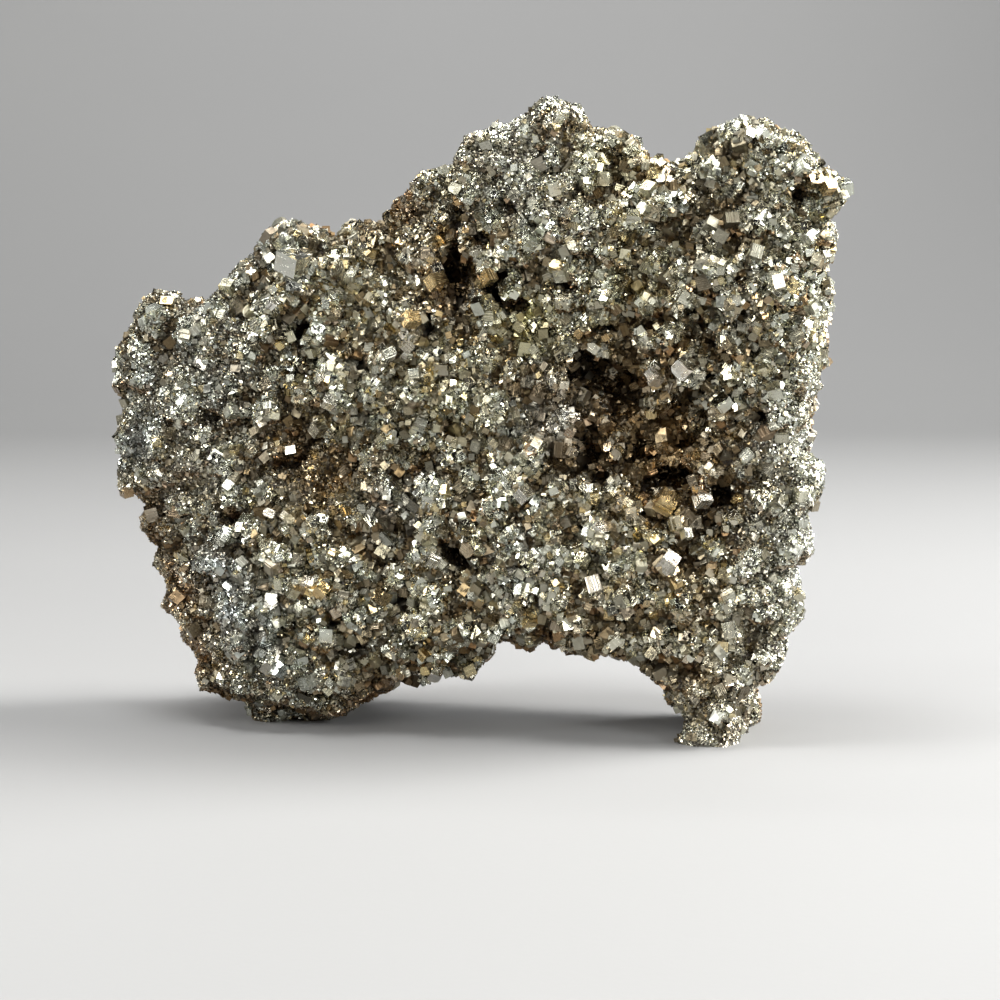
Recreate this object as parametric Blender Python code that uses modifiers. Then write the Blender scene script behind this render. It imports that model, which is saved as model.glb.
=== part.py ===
"""Pyrite cluster: one upright slab of grown-together pyrite, on a wide left base and a right leg.

Run with blender --background --python part.py, or from the text editor. All sizes are in metres.
The specimen is drawn in its slab frame: X runs along the slab, Y through its thickness with the
sparkling face at -Y, and Z is up. It is then turned about Z and set with the middle of its
bounding box over the origin.
"""

import math
import random

import bmesh
import bpy
import numpy as np
from mathutils import Euler, Matrix, Vector, noise
from mathutils.bvhtree import BVHTree

MM = 0.001

# Driving dimensions of the slab
SLAB_TURN = math.radians(11.0)  # the right end stands nearer than the left end
FACE_DEPTH = 15.0 * MM  # middle plane to the sparkling face
BACK_DEPTH = 21.0 * MM  # middle plane to the back
FACE_RIM_SHARE = 0.62  # share of the face's depth that is left at the rim
BACK_RIM_SHARE = 0.5  # and of the back's
RIM_ROUND = 10.0 * MM  # how far in from the rim the depths are full
RIM_INSET = 1.2 * MM  # the lumps stop this far inside the outline, which the crystals reach
CORE_INSET = 2.6 * MM  # and the core that they grow on stops this far inside the lumps
FACE_SUNK = 1.6 * MM  # the core's skin below the lumps' on the face
BACK_SUNK = 2.2 * MM  # and on the back
MIDDLE_OVER_ORIGIN = Vector((1.607 * MM, 2.071 * MM, 0.0))  # brings the box's middle over the origin

# Grain of the fused meshes
CORE_VOXEL = 1.5 * MM
LUMP_VOXEL = 1.0 * MM
BODY_TRIANGLES = 5600

# Lumps that cover every side
FACE_LUMP_RADII = (3.0 * MM, 5.0 * MM)
FACE_LUMP_PROUD = (-0.4 * MM, 0.8 * MM)
BACK_LUMP_RADII = (3.2 * MM, 6.5 * MM)
BACK_LUMP_PROUD = (-0.8 * MM, 1.0 * MM)
RIM_LUMP_RADII = (2.8 * MM, 5.0 * MM)
RIM_LUMP_SPACING = 6.0 * MM
LUMP_SPACING = 5.4 * MM
BACK_LUMP_SPACING = 6.6 * MM

# Crystals that are large enough to be seen from a step away
CRYSTAL_EDGES = (1.5 * MM, 2.5 * MM)
CRYSTAL_SPACING = 4.4 * MM
FACE_CRYSTALS = 70
BACK_CRYSTALS = 40
BARE_FOOT = 4.5 * MM  # no crystal grows lower than this, so that the feet stay flat

# Outline of the slab seen square on, clockwise from the left shoulder, as (along, up) in millimetres
OUTLINE_MM = (
    (-55.5, 56.5), (-52.5, 61.5), (-48.5, 65), (-42, 65), (-38, 69), (-34.5, 72), (-30, 76), (-26.5, 76.5),
    (-24.5, 75), (-20, 75.5), (-12.5, 79), (-8, 83.5), (-3, 86), (-1, 89), (4.5, 90.5), (9, 93),
    (12, 93.5), (15, 92.5), (19, 89), (23.5, 88), (25, 85), (31, 85.5), (33, 89), (38, 91),
    (43, 91), (48, 88.5), (51.5, 83.5), (53, 77), (52.3, 70), (53.4, 64), (52.4, 55), (51, 46),
    (50, 39), (48.7, 33), (47.8, 27), (48.2, 22), (46.5, 16), (46, 11), (42.5, 5.5), (40.5, -2.6),
    (33, -2.6), (29.5, 2), (27, 6), (25.5, 9), (18, 10.5), (8, 10.5), (2, 9.5), (0, 7),
    (-5, 6.5), (-12, 4), (-18.5, 0), (-24, -2.8), (-33.6, -2.8), (-38.5, 1.5), (-44.5, 7), (-47.5, 12),
    (-49.5, 16), (-51.5, 22), (-52.5, 30), (-54.5, 35), (-54.8, 43), (-55.3, 49),
)

# Broad swells (+) and basins (-) of the face, as (along, up, reach, height) in millimetres
FACE_SWELLS_MM = (
    (36, 74, 16, 3.0), (38, 66, 7, 1.5), (10, 83, 10, 2.0), (-8, 68, 9, -3.0), (-38, 58, 14, 1.0),
    (27, 48, 11, -4.5), (12, 22, 14, 2.0), (-25, 20, 15, 2.5), (-48, 25, 7, -4.0), (-20, 42, 8, -2.0),
    (38, 8, 8, 1.0), (-28, -2, 6, -7.5), (-12, 3, 6, -3.0), (-46, 8, 6, -2.0),
)

# The same for the back
BACK_SWELLS_MM = (
    (-28, 0, 11, 6.0), (-30, 50, 16, 3.0), (22, 62, 16, 3.5), (4, 38, 10, -4.0), (40, 30, 11, 2.0),
    (38, 0, 8, -2.0), (-20, 26, 8, -2.5), (30, 44, 7, -3.0), (-4, 66, 9, -2.0),
)

# Broken planes of the back, as (millimetres behind the middle plane, slope along, slope up)
BACK_BREAKS = ((21.0, 0.0, -0.22), (24.0, 0.3, -0.1), (22.5, -0.24, -0.02), (26.0, -0.1, 0.3))

# Named lumps of the face, as (along, up, radius, how far its crown stands proud) in millimetres
FACE_LUMPS_MM = (
    (-26, 71.5, 3.8, 1.5), (-46, 60.5, 5, 0.5), (-50, 52, 4.5, 0.5), (-50, 44, 4.5, 0.5), (-51, 38, 4, 0.5),
    (-9, 61, 4.5, 1.2), (-18, 62, 5, 0.6), (-28, 58, 4.5, 0.8), (-36, 50, 5, 0.5), (2.5, 84, 4.8, 1.8),
    (1, 79, 3.6, 1.6), (13, 88, 5.0, 0.8), (22.5, 85, 3.2, 0.6), (40, 85, 5.0, 1.6), (46, 83, 4.6, 1.0),
    (51, 79, 4, 0.8), (49.3, 72, 4.2, 1.2), (34, 66.5, 5, 2.2), (40.5, 65.5, 4.6, 2), (46.5, 66, 4.5, 1),
    (31, 58, 4.2, 1.2), (38, 57, 4.0, 0.8), (3, 51, 5.2, 0.6), (12, 52, 5.0, 0.6), (-8, 49, 5.4, 0.8),
    (2, 34, 6.0, 1.2), (-4, 30.5, 4.2, 1.2), (21, 31, 4.2, 1.0), (29, 27, 4.2, 0.8), (22, 22, 5.0, 1.0),
    (12, 22, 4.6, 0.8), (-33, 16, 5.2, 1.2), (-27, 9, 6.0, 1.2), (-37, 26, 5.0, 0.8), (-18, 8, 5.0, 0.8),
    (48.3, 38, 4.5, 0.5), (46, 30, 5, 0.8), (45, 21, 5, 0.8), (43, 13, 4.5, 0.8), (37, 8.5, 4.8, 1),
    (-30, 31, 5.2, 1.0), (-12, 20, 5.0, 0.8), (10, 72, 5.0, 0.6), (22, 72, 5.2, 0.6), (10, 40, 4.8, 0.8),
)

# Hollows of the face, as (along, up, half width, half height, depth, roll in degrees) in millimetres
FACE_HOLLOWS_MM = (
    (-22.5, 73, 1.9, 1.5, 3.5, 0), (-2.5, 69.5, 1.4, 4.2, 5.5, 8), (5.2, 66, 2.4, 2.1, 8.0, -35),
    (9, 62, 2.4, 1.6, 3.0, 0), (-5, 61.5, 1.3, 2.2, 4.5, 0), (-24, 60.5, 1.2, 3.0, 3.5, 0),
    (-17, 54.5, 3.0, 1.4, 3.5, -20), (-34, 57.5, 1.5, 2.0, 3.0, 0), (-38.5, 46, 2.4, 1.0, 4.5, -25),
    (-26, 42.5, 3.6, 1.4, 5.5, 38), (-20, 40, 3.8, 3.2, 3.0, 0), (-33.5, 33, 2.4, 1.0, 3.5, -15),
    (-15, 31.5, 1.6, 1.1, 4.0, 0), (-10.5, 29.5, 2.6, 0.9, 3.5, -20), (-0.5, 26.5, 3.0, 1.8, 3.5, 0),
    (21.5, 50.5, 3.6, 4.6, 8.5, 20), (18, 54, 2.6, 1.6, 5.5, 0), (31, 49, 6.0, 5.0, 3.5, 0),
    (17.8, 43, 2.4, 1.9, 7.5, 0), (29, 38.5, 3.8, 1.3, 6.5, -6), (36.5, 35.8, 3.8, 1.3, 5.5, -8),
    (35, 31, 1.8, 3.4, 3.5, 20), (16.5, 30, 1.4, 1.2, 3.5, 0), (41, 47.5, 1.5, 1.2, 3.5, 0),
    (33, 61.8, 2.8, 1.4, 5.0, 0), (41.5, 61, 3.2, 1.4, 5.0, 0), (41, 68.5, 1.6, 1.4, 3.0, 0),
    (49, 74.5, 1.3, 2.0, 4.5, 0), (36.5, 82, 4.0, 1.1, 3.5, -42), (24.5, 82, 1.5, 1.5, 3.0, 0),
    (5.2, 76.5, 1.2, 3.6, 3.5, 0), (-23, 12.2, 1.7, 1.1, 4.5, 0), (-15.5, 12.5, 1.5, 1.2, 4.5, -30),
    (-10, 20, 1.3, 1.3, 3.5, 0), (-19, 17, 1.3, 1.2, 3.5, 0), (41.5, 21.5, 1.1, 1.1, 3.5, 0),
    (32, 17, 2.8, 1.8, 3.0, 20), (-40, 21.5, 1.4, 1.6, 3.5, 0), (20.5, 58.5, 1.6, 1.3, 3.5, 0),
    (10.5, 55, 1.6, 1.1, 3.5, 0), (-44, 51.5, 2.6, 1.0, 2.5, -10), (-2, 45.5, 3.6, 1.0, 3.0, -4),
)

# Notable crystals of the face, as (along, up, edge) in millimetres
FACE_CRYSTALS_MM = (
    (-24.5, 69, 3.4), (-23.5, 66, 2.4), (-8.5, 61.5, 3.0), (-7.2, 58, 2.4), (-4, 66, 2.4), (3.6, 68.5, 2.0),
    (-21.5, 21, 2.4), (-24, 22.2, 2.0), (33, 54.2, 2.9), (28, 53.6, 2.4), (8.5, 36.5, 2.2), (14, 37, 2.0),
    (20.5, 30, 2.5), (29, 34.8, 2.4), (34.6, 37.6, 2.1), (30, 27, 2.3), (19.5, 22, 2.3), (24, 21.6, 1.9),
    (9.5, 18.5, 2.1), (6.5, 30, 1.9), (45.5, 67.5, 2.1), (50, 64, 1.9), (43, 75, 2.0), (20, 57, 1.9),
    (-5, 10.5, 2.0), (-28, 63, 2.0), (15, 64, 1.9), (27, 63.5, 1.9), (28.5, 16, 2.0), (48, 69.5, 2.0),
)

# Patches of the face where its crystals are coarse, as (along, up, reach) in millimetres
COARSE_PATCHES_MM = (
    (14, 32, 14), (27, 24, 11), (32, 55, 9), (44, 68, 8), (-24, 67, 6), (-7, 60, 8), (-22, 22, 7),
    (-5, 12, 6), (4, 68, 5), (-18, 50, 6), (30, 82, 6),
)


def clear_scene():
    """Remove every object of the startup scene."""
    for obj in list(bpy.data.objects):
        bpy.data.objects.remove(obj, do_unlink=True)


def new_collection(name):
    collection = bpy.data.collections.new(name)
    bpy.context.scene.collection.children.link(collection)
    return collection


def object_from(bm, name, collection):
    """A new object that holds the bmesh, which is freed."""
    mesh = bpy.data.meshes.new(name)
    bm.to_mesh(mesh)
    bm.free()
    obj = bpy.data.objects.new(name, mesh)
    collection.objects.link(obj)
    return obj


def apply_modifiers(obj):
    """Swap the object's mesh for its evaluated mesh and drop its modifiers."""
    bpy.context.view_layer.update()
    evaluated = obj.evaluated_get(bpy.context.evaluated_depsgraph_get())
    mesh = bpy.data.meshes.new_from_object(evaluated)
    obj.modifiers.clear()
    obj.data = mesh


def points_of(mesh):
    """The vertices as an array with a row for each."""
    places = np.empty(len(mesh.vertices) * 3)
    mesh.vertices.foreach_get("co", places)
    return places.reshape(-1, 3)


def set_points(mesh, places):
    mesh.vertices.foreach_set("co", places.ravel())
    mesh.update()


def fuse(obj, voxel):
    """Make whatever overlaps in the object one closed skin of even grain."""
    remesh = obj.modifiers.new("fuse", "REMESH")
    remesh.mode = "VOXEL"
    remesh.voxel_size = voxel
    apply_modifiers(obj)


def fuse_body(obj, voxel):
    fuse(obj, voxel)
    keep_largest_skin(obj)


def keep_largest_skin(obj):
    """Drop the bubbles sealed inside the object and any loose crumb."""
    bm = bmesh.new()
    bm.from_mesh(obj.data)
    waiting, skins = set(bm.verts), []
    while waiting:
        front = [waiting.pop()]
        skin = list(front)
        while front:
            around = {edge.other_vert(vertex) for vertex in front for edge in vertex.link_edges}
            front = list(around & waiting)
            waiting.difference_update(front)
            skin += front
        skins.append(skin)
    skins.sort(key=len)
    bmesh.ops.delete(bm, geom=[vertex for skin in skins[:-1] for vertex in skin], context="VERTS")
    bm.to_mesh(obj.data)
    bm.free()


def outline_points(step=1.0 * MM):
    """The outline as a smooth closed line through its points, as an array of (along, up)."""
    corners = [np.array(corner) * MM for corner in OUTLINE_MM]
    line = []
    for i, start in enumerate(corners):
        before = corners[i - 1]
        end, after = (corners[(i + on) % len(corners)] for on in (1, 2))
        count = max(2, round(float(np.linalg.norm(end - start)) / step))
        for t in np.arange(count) / count:
            line.append(
                0.5
                * (
                    2 * start
                    + (end - before) * t
                    + (2 * before - 5 * start + 4 * end - after) * t**2
                    + (3 * start - before - 3 * end + after) * t**3
                )
            )
    line = np.array(line)
    return line + RIM_INSET * inward_of(line)


def inward_of(line):
    """At each point of the outline, the way into the slab."""
    around = np.roll(line, -1, axis=0) - np.roll(line, 1, axis=0)
    around /= np.linalg.norm(around, axis=1)[:, None]
    return np.stack([around[:, 1], -around[:, 0]], axis=1)


def rim_distance(places, line):
    """How far each (along, up) place is from the outline."""
    nearest = np.full(len(places), np.inf)
    for point in line:
        nearest = np.minimum(nearest, np.hypot(places[:, 0] - point[0], places[:, 1] - point[1]))
    return nearest


def inside(place, line):
    """True if an (along, up) place is within the outline."""
    x, z = place
    ends = np.roll(line, -1, axis=0)
    crosses = (line[:, 1] > z) != (ends[:, 1] > z)
    rise = np.where(crosses, ends[:, 1] - line[:, 1], 1.0)
    meets = line[:, 0] + (z - line[:, 1]) / rise * (ends[:, 0] - line[:, 0])
    return bool(np.count_nonzero(crosses & (x < meets)) % 2)


def swell(places, swells_mm):
    """The sum of the broad swells and basins at each (along, up) place."""
    total = np.zeros(len(places))
    for along, up, reach, height in swells_mm:
        apart = np.hypot(places[:, 0] - along * MM, places[:, 1] - up * MM) / (reach * MM)
        total += height * MM * np.exp(-(apart**2))
    return total


def rounding(places, line, rim_share):
    """Share of a side's full depth that the rounded rim leaves at each place."""
    near = np.clip(rim_distance(places, line) / RIM_ROUND, 0.0, 1.0)
    return rim_share + (1.0 - rim_share) * np.sqrt(1.0 - (1.0 - near) ** 2)


def face_depth(places, line):
    """From the middle plane to the skin of the face: rounded at the rim, swollen in between."""
    return FACE_DEPTH * rounding(places, line, FACE_RIM_SHARE) + swell(places, FACE_SWELLS_MM)


def back_depth(places, line):
    """The same for the back, which is also broken off along a few slanting planes."""
    depth = BACK_DEPTH * rounding(places, line, BACK_RIM_SHARE) + swell(places, BACK_SWELLS_MM)
    for middle, along, up in BACK_BREAKS:
        depth = np.minimum(depth, middle * MM + along * places[:, 0] + up * (places[:, 1] - 45.0 * MM))
    return depth


def slab_core(line, collection):
    """The slab inside its lumps: the filled outline, extruded, then shaped to the two skins."""
    curve = bpy.data.curves.new("slab_outline", "CURVE")
    curve.dimensions = "2D"
    curve.fill_mode = "BOTH"
    curve.extrude = FACE_DEPTH
    spline = curve.splines.new("POLY")
    spline.points.add(len(line) - 1)
    for point, (along, up) in zip(spline.points, line + CORE_INSET * inward_of(line)):
        point.co = (along, up, 0.0, 1.0)
    spline.use_cyclic_u = True
    outline = bpy.data.objects.new("slab_outline", curve)
    collection.objects.link(outline)
    bpy.context.view_layer.update()
    evaluated = outline.evaluated_get(bpy.context.evaluated_depsgraph_get())
    mesh = bpy.data.meshes.new_from_object(evaluated)
    bpy.data.objects.remove(outline)
    mesh.transform(Matrix.Rotation(math.radians(90.0), 4, "X"))
    bm = bmesh.new()
    bm.from_mesh(mesh)
    bmesh.ops.remove_doubles(bm, verts=bm.verts, dist=1e-6)
    core = object_from(bm, "pyrite_cluster", collection)
    fuse(core, CORE_VOXEL)
    places = points_of(core.data)
    flat = places[:, [0, 2]]
    face = face_depth(flat, line) - FACE_SUNK
    back = back_depth(flat, line) - BACK_SUNK
    share = places[:, 1] / FACE_DEPTH
    places[:, 1] = np.where(share < 0, share * face, share * back)
    set_points(core.data, places)
    return core


def balls(places, name):
    """A mesh of one ball of radius 1 at each place, given as a matrix."""
    bm = bmesh.new()
    bmesh.ops.create_icosphere(bm, subdivisions=3, radius=1.0)
    points = np.array([(*vertex.co, 1.0) for vertex in bm.verts])
    faces = np.array([[vertex.index for vertex in face.verts] for face in bm.faces])
    bm.free()
    moved = np.concatenate([points @ np.array(place).T for place in places])[:, :3]
    corners = np.concatenate([faces + i * len(points) for i in range(len(places))])
    mesh = bpy.data.meshes.new(name)
    mesh.from_pydata(moved.tolist(), [], corners.tolist())
    return mesh


def lump_place(centre, radius, rng):
    """Where a round lump goes, a little squashed and turned."""
    size = [radius * rng.uniform(0.86, 1.12) for _ in range(3)]
    turn = Euler([rng.uniform(0.0, math.tau) for _ in range(3)]).to_matrix().to_4x4()
    return Matrix.Translation(centre) @ turn @ Matrix.Diagonal((*size, 1.0))


def scattered(line, spacing, taken, rng, tries=1400):
    """Places inside the outline, each at least a spacing from the taken ones and from each other."""
    low, high = line.min(axis=0), line.max(axis=0)
    found = []
    for _ in range(tries):
        place = (rng.uniform(low[0], high[0]), rng.uniform(low[1], high[1]))
        crowded = any(math.dist(place, other) < spacing for other in [*taken, *found])
        if not crowded and inside(place, line):
            found.append(place)
    return found


def side_lumps(lumps, skins, towards, rng):
    """Places of one side's lumps, each (along, up, radius, proud); towards is -1 for the face."""
    return [
        lump_place(Vector((along, towards * (skin + proud - radius), up)), radius, rng)
        for (along, up, radius, proud), skin in zip(lumps, skins)
    ]


def fitted(places, line, radii, proud, rng):
    """A lump (along, up, radius, proud) at each place, none of them across the outline."""
    lumps = []
    for place, room in zip(places, rim_distance(np.array(places), line)):
        radius = min(rng.uniform(*radii), room)
        if radius > 2.0 * MM:
            lumps.append((*place, radius, rng.uniform(*proud)))
    return lumps


def face_lumps(line, rng):
    """The named lumps of the face, and smaller ones in all the room between them."""
    named = [tuple(value * MM for value in lump) for lump in FACE_LUMPS_MM]
    between = scattered(line, LUMP_SPACING, [lump[:2] for lump in named], rng)
    return named + fitted(between, line, FACE_LUMP_RADII, FACE_LUMP_PROUD, rng)


def back_lumps(line, rng):
    """The back is more massive, so its lumps are broad and low."""
    places = scattered(line, BACK_LUMP_SPACING, [], rng)
    return fitted(places, line, BACK_LUMP_RADII, BACK_LUMP_PROUD, rng)


def rim_lumps(line, rng):
    """Places of three rows of lumps round the rim, each touching the outline from within."""
    places = []
    inward = inward_of(line)
    face = -face_depth(line, line)
    back = back_depth(line, line)
    every = round(RIM_LUMP_SPACING / (1.0 * MM))
    for row, share in enumerate((0.1, 0.5, 0.9)):
        for i in range(row * every // 3, len(line), every):
            radius = rng.uniform(*RIM_LUMP_RADII)
            along, up = line[i] + inward[i] * (radius + rng.uniform(-0.4, 0.4) * MM)
            depth = face[i] + share * (back[i] - face[i]) + rng.uniform(-1.0, 1.0) * MM
            places.append(lump_place(Vector((along, depth, up)), radius, rng))
    return places


def hollows(line, collection, rng):
    """The cutter for the dark hollows: flattened balls that reach in from the face, sloping upwards."""
    places = []
    skins = face_depth(np.array([hollow[:2] for hollow in FACE_HOLLOWS_MM]) * MM, line)
    for (along, up, half_width, half_height, depth, roll), skin in zip(FACE_HOLLOWS_MM, skins):
        centre = Vector((along * MM, -skin, up * MM))
        rise, aside = rng.uniform(4.0, 16.0), rng.uniform(-8.0, 8.0)
        reach = Euler([math.radians(angle) for angle in (rise, -roll, aside)])
        size = Matrix.Diagonal((half_width * MM, depth * MM, half_height * MM, 1.0))
        places.append(Matrix.Translation(centre) @ reach.to_matrix().to_4x4() @ size)
    cutter = bpy.data.objects.new("face_hollows", balls(places, "face_hollows"))
    collection.objects.link(cutter)
    fuse(cutter, 0.6 * MM)
    cutter.hide_render = True
    cutter.display_type = "WIRE"
    return cutter


def cut(obj, cutter):
    difference = obj.modifiers.new("hollow", "BOOLEAN")
    difference.operation = "DIFFERENCE"
    difference.solver = "EXACT"
    difference.object = cutter
    apply_modifiers(obj)


def roughen(obj):
    """Crumble the skin, coarsely and finely, along its normals."""
    coarse, fine = 0.9 * MM, 0.5 * MM
    places = points_of(obj.data)
    normals = np.array([vertex.normal for vertex in obj.data.vertices])
    by = [
        coarse * noise.noise(Vector(place) / (4.5 * MM)) + fine * noise.noise(Vector(place) / (1.9 * MM))
        for place in places
    ]
    set_points(obj.data, places + normals * np.array(by)[:, None])


def thin_out(obj, triangles):
    """Collapse the even grain to about this many triangles, most of them where the skin turns."""
    obj.data.calc_loop_triangles()
    decimate = obj.modifiers.new("thin", "DECIMATE")
    decimate.ratio = triangles / len(obj.data.loop_triangles)
    decimate.use_collapse_triangulate = True
    apply_modifiers(obj)


def level_feet(obj):
    """Cut the body off flat at the surface it stands on."""
    bm = bmesh.new()
    bm.from_mesh(obj.data)
    everything = [*bm.verts, *bm.edges, *bm.faces]
    sliced = bmesh.ops.bisect_plane(
        bm, geom=everything, plane_co=(0.0, 0.0, 0.0), plane_no=(0.0, 0.0, 1.0), clear_inner=True
    )
    rims = [item for item in sliced["geom_cut"] if isinstance(item, bmesh.types.BMEdge)]
    bmesh.ops.contextual_create(bm, geom=rims)
    bmesh.ops.holes_fill(bm, edges=[edge for edge in bm.edges if edge.is_boundary])
    bmesh.ops.triangulate(bm, faces=bm.faces)
    bmesh.ops.recalc_face_normals(bm, faces=bm.faces)
    bm.to_mesh(obj.data)
    bm.free()


def add_crystal(bm, foot, outward, edge, rng):
    """A cube of pyrite, sunk a little in what it grows from, a corner, an edge or a face outward."""
    leading = rng.choice((Vector((0, 0, 1)), Vector((0, 1, 1)), Vector((1, 1, 1)), Vector((1, 2, 3))))
    upright = leading.rotation_difference(Vector((0, 0, 1)))
    spin = Matrix.Rotation(rng.uniform(0.0, math.tau), 4, "Z")
    lean = outward + Vector([rng.uniform(-0.35, 0.35) for _ in range(3)])
    facing = Vector((0, 0, 1)).rotation_difference(lean).to_matrix().to_4x4()
    sides = Matrix.Diagonal((*[rng.uniform(0.85, 1.15) for _ in range(3)], 1.0))
    centre = foot + outward * edge * rng.uniform(0.0, 0.18)
    place = Matrix.Translation(centre) @ facing @ spin @ upright.to_matrix().to_4x4() @ sides
    bmesh.ops.create_cube(bm, size=edge, matrix=place)


def is_coarse(place):
    """Whether a place of the face is in one of its coarse patches."""
    x, z = place.x / MM, place.z / MM
    return any(math.hypot(x - along, z - up) < reach for along, up, reach in COARSE_PATCHES_MM)


def crystal_places(body, rng):
    """(foot, outward, edge) of each crystal: the face's notable ones, then scattered ones."""
    skin = BVHTree.FromObject(body, bpy.context.evaluated_depsgraph_get())
    found = []
    for along, up, edge in FACE_CRYSTALS_MM:
        foot, outward, _, _ = skin.ray_cast(Vector((along * MM, -0.1, up * MM)), Vector((0, 1, 0)))
        if foot is not None:
            found.append((foot, outward, edge * MM))
    triangles = body.data.polygons
    areas = [triangle.area for triangle in triangles]
    wanted = {"face": FACE_CRYSTALS, "back": BACK_CRYSTALS}
    for triangle in rng.choices(triangles, weights=areas, k=9000):
        foot, outward = triangle.center.copy(), triangle.normal.copy()
        if outward.y < -0.35 and is_coarse(foot):
            side = "face"
        elif outward.y > 0.45:
            side = "back"
        else:
            continue
        crowded = any((foot - other).length < CRYSTAL_SPACING for other, _, _ in found)
        if wanted[side] and not crowded and foot.z > BARE_FOOT:
            found.append((foot, outward, rng.uniform(*CRYSTAL_EDGES)))
            wanted[side] -= 1
    return found


def grow_crystals(body, collection, rng):
    """Fuse the large crystals to the body."""
    bm = bmesh.new()
    for foot, outward, edge in crystal_places(body, rng):
        add_crystal(bm, foot, outward, edge, rng)
    crystals = object_from(bm, "large_crystals", collection)
    crystals.hide_render = True
    crystals.display_type = "WIRE"
    union = body.modifiers.new("grow", "BOOLEAN")
    union.operation = "UNION"
    union.solver = "EXACT"
    union.use_self = True
    union.object = crystals
    apply_modifiers(body)


def pyrite_material():
    """Pale, slightly greenish brass with a bright metallic lustre."""
    material = bpy.data.materials.new("pyrite")
    material.use_nodes = True
    shader = material.node_tree.nodes["Principled BSDF"]
    shader.inputs["Base Color"].default_value = (0.56, 0.50, 0.37, 1.0)
    shader.inputs["Metallic"].default_value = 1.0
    shader.inputs["Roughness"].default_value = 0.3
    return material


def main():
    rng = random.Random(17)
    clear_scene()
    specimen = new_collection("pyrite_cluster_specimen")
    cutters = new_collection("cutters")
    line = outline_points()
    body = slab_core(line, specimen)
    on_face, on_back = face_lumps(line, rng), back_lumps(line, rng)
    lumps = side_lumps(on_face, face_depth(np.array(on_face)[:, :2], line), -1.0, rng)
    lumps += side_lumps(on_back, back_depth(np.array(on_back)[:, :2], line), 1.0, rng)
    lumps += rim_lumps(line, rng)
    bm = bmesh.new()
    bm.from_mesh(body.data)
    bm.from_mesh(balls(lumps, "lumps"))
    bm.to_mesh(body.data)
    bm.free()
    fuse_body(body, LUMP_VOXEL)
    cut(body, hollows(line, cutters, rng))
    fuse_body(body, LUMP_VOXEL)
    roughen(body)
    thin_out(body, BODY_TRIANGLES)
    level_feet(body)
    grow_crystals(body, cutters, rng)
    keep_largest_skin(body)
    body.data.materials.clear()
    body.data.materials.append(pyrite_material())
    body.data.shade_flat()
    body.rotation_euler.z = -SLAB_TURN
    body.location = MIDDLE_OVER_ORIGIN


main()
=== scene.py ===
"""Pyrite cluster: the crystal skin, its finishes, the light and the camera.

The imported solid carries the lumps, ledges, hollows and largest cubes. This script keeps those cubes
crisp, covers everything between them with grown crystals, dresses both, and lights the cluster.
The cluster is a slab: "along" runs along it, "through" from its sparkling face to its back, "up" is up.
"""

import logging
import math
from dataclasses import dataclass, field
from enum import Enum
from itertools import product
from typing import ClassVar

import bpy
import numpy as np
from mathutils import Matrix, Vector, noise
from mathutils.bvhtree import BVHTree
from mathutils.kdtree import KDTree


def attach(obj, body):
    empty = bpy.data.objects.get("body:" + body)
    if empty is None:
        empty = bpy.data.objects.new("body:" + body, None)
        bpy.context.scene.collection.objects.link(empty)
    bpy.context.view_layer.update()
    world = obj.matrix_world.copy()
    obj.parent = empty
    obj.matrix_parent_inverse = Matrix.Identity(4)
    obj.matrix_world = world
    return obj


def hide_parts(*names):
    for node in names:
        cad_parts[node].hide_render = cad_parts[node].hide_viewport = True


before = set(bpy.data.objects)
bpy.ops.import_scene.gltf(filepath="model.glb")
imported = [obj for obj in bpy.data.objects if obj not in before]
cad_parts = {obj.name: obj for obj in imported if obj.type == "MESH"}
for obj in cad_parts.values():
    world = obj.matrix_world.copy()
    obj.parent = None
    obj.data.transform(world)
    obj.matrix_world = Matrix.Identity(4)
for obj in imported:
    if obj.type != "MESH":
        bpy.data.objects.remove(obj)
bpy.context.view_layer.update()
log = logging.getLogger("pyrite")

MM = 0.001
NODE = "pyrite_cluster"
SLAB_TURN = math.radians(11.0)  # the slab's right end stands nearer the viewer
SLAB_MIDDLE = (1.607 * MM, 2.071 * MM)  # where the middle of its outline is in plan
ALONG = np.array((math.cos(SLAB_TURN), -math.sin(SLAB_TURN), 0.0))
THROUGH = np.array((math.sin(SLAB_TURN), math.cos(SLAB_TURN), 0.0))


class Zone(Enum):
    """The two sorts of growth on the cluster."""

    FACE = "face"
    BACK = "back"


class Habit(Enum):
    """The shapes that the crystals take."""

    CORNER = "corner"
    CUBE = "cube"
    TRUNCATED = "truncated cube"
    STEPPED = "stepped cube"
    TWIN = "twinned cubes"


@dataclass(frozen=True)
class Stain:
    """A patch of the face where the crystals have another colour.

    Attributes:
        along: Middle of the patch along the slab, in mm.
        up: Middle of the patch above the floor, in mm.
        reach: Distance at which the patch has faded to about a third, in mm.
        colour: Colour that the crystals turn to.
        strength: Share of that colour in the middle of the patch.
    """

    along: float
    up: float
    reach: float
    colour: tuple[float, float, float]
    strength: float


BROWN = (0.228, 0.16, 0.08)
AMBER = (0.33, 0.21, 0.09)
RUST = (0.30, 0.17, 0.075)
BLUE_GREY = (0.47, 0.52, 0.53)
OLIVE = (0.50, 0.47, 0.23)
WARM_GOLD = (0.64, 0.55, 0.37)
SILVER = (0.67, 0.68, 0.60)
DULL_GREY = (0.32, 0.315, 0.25)

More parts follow.
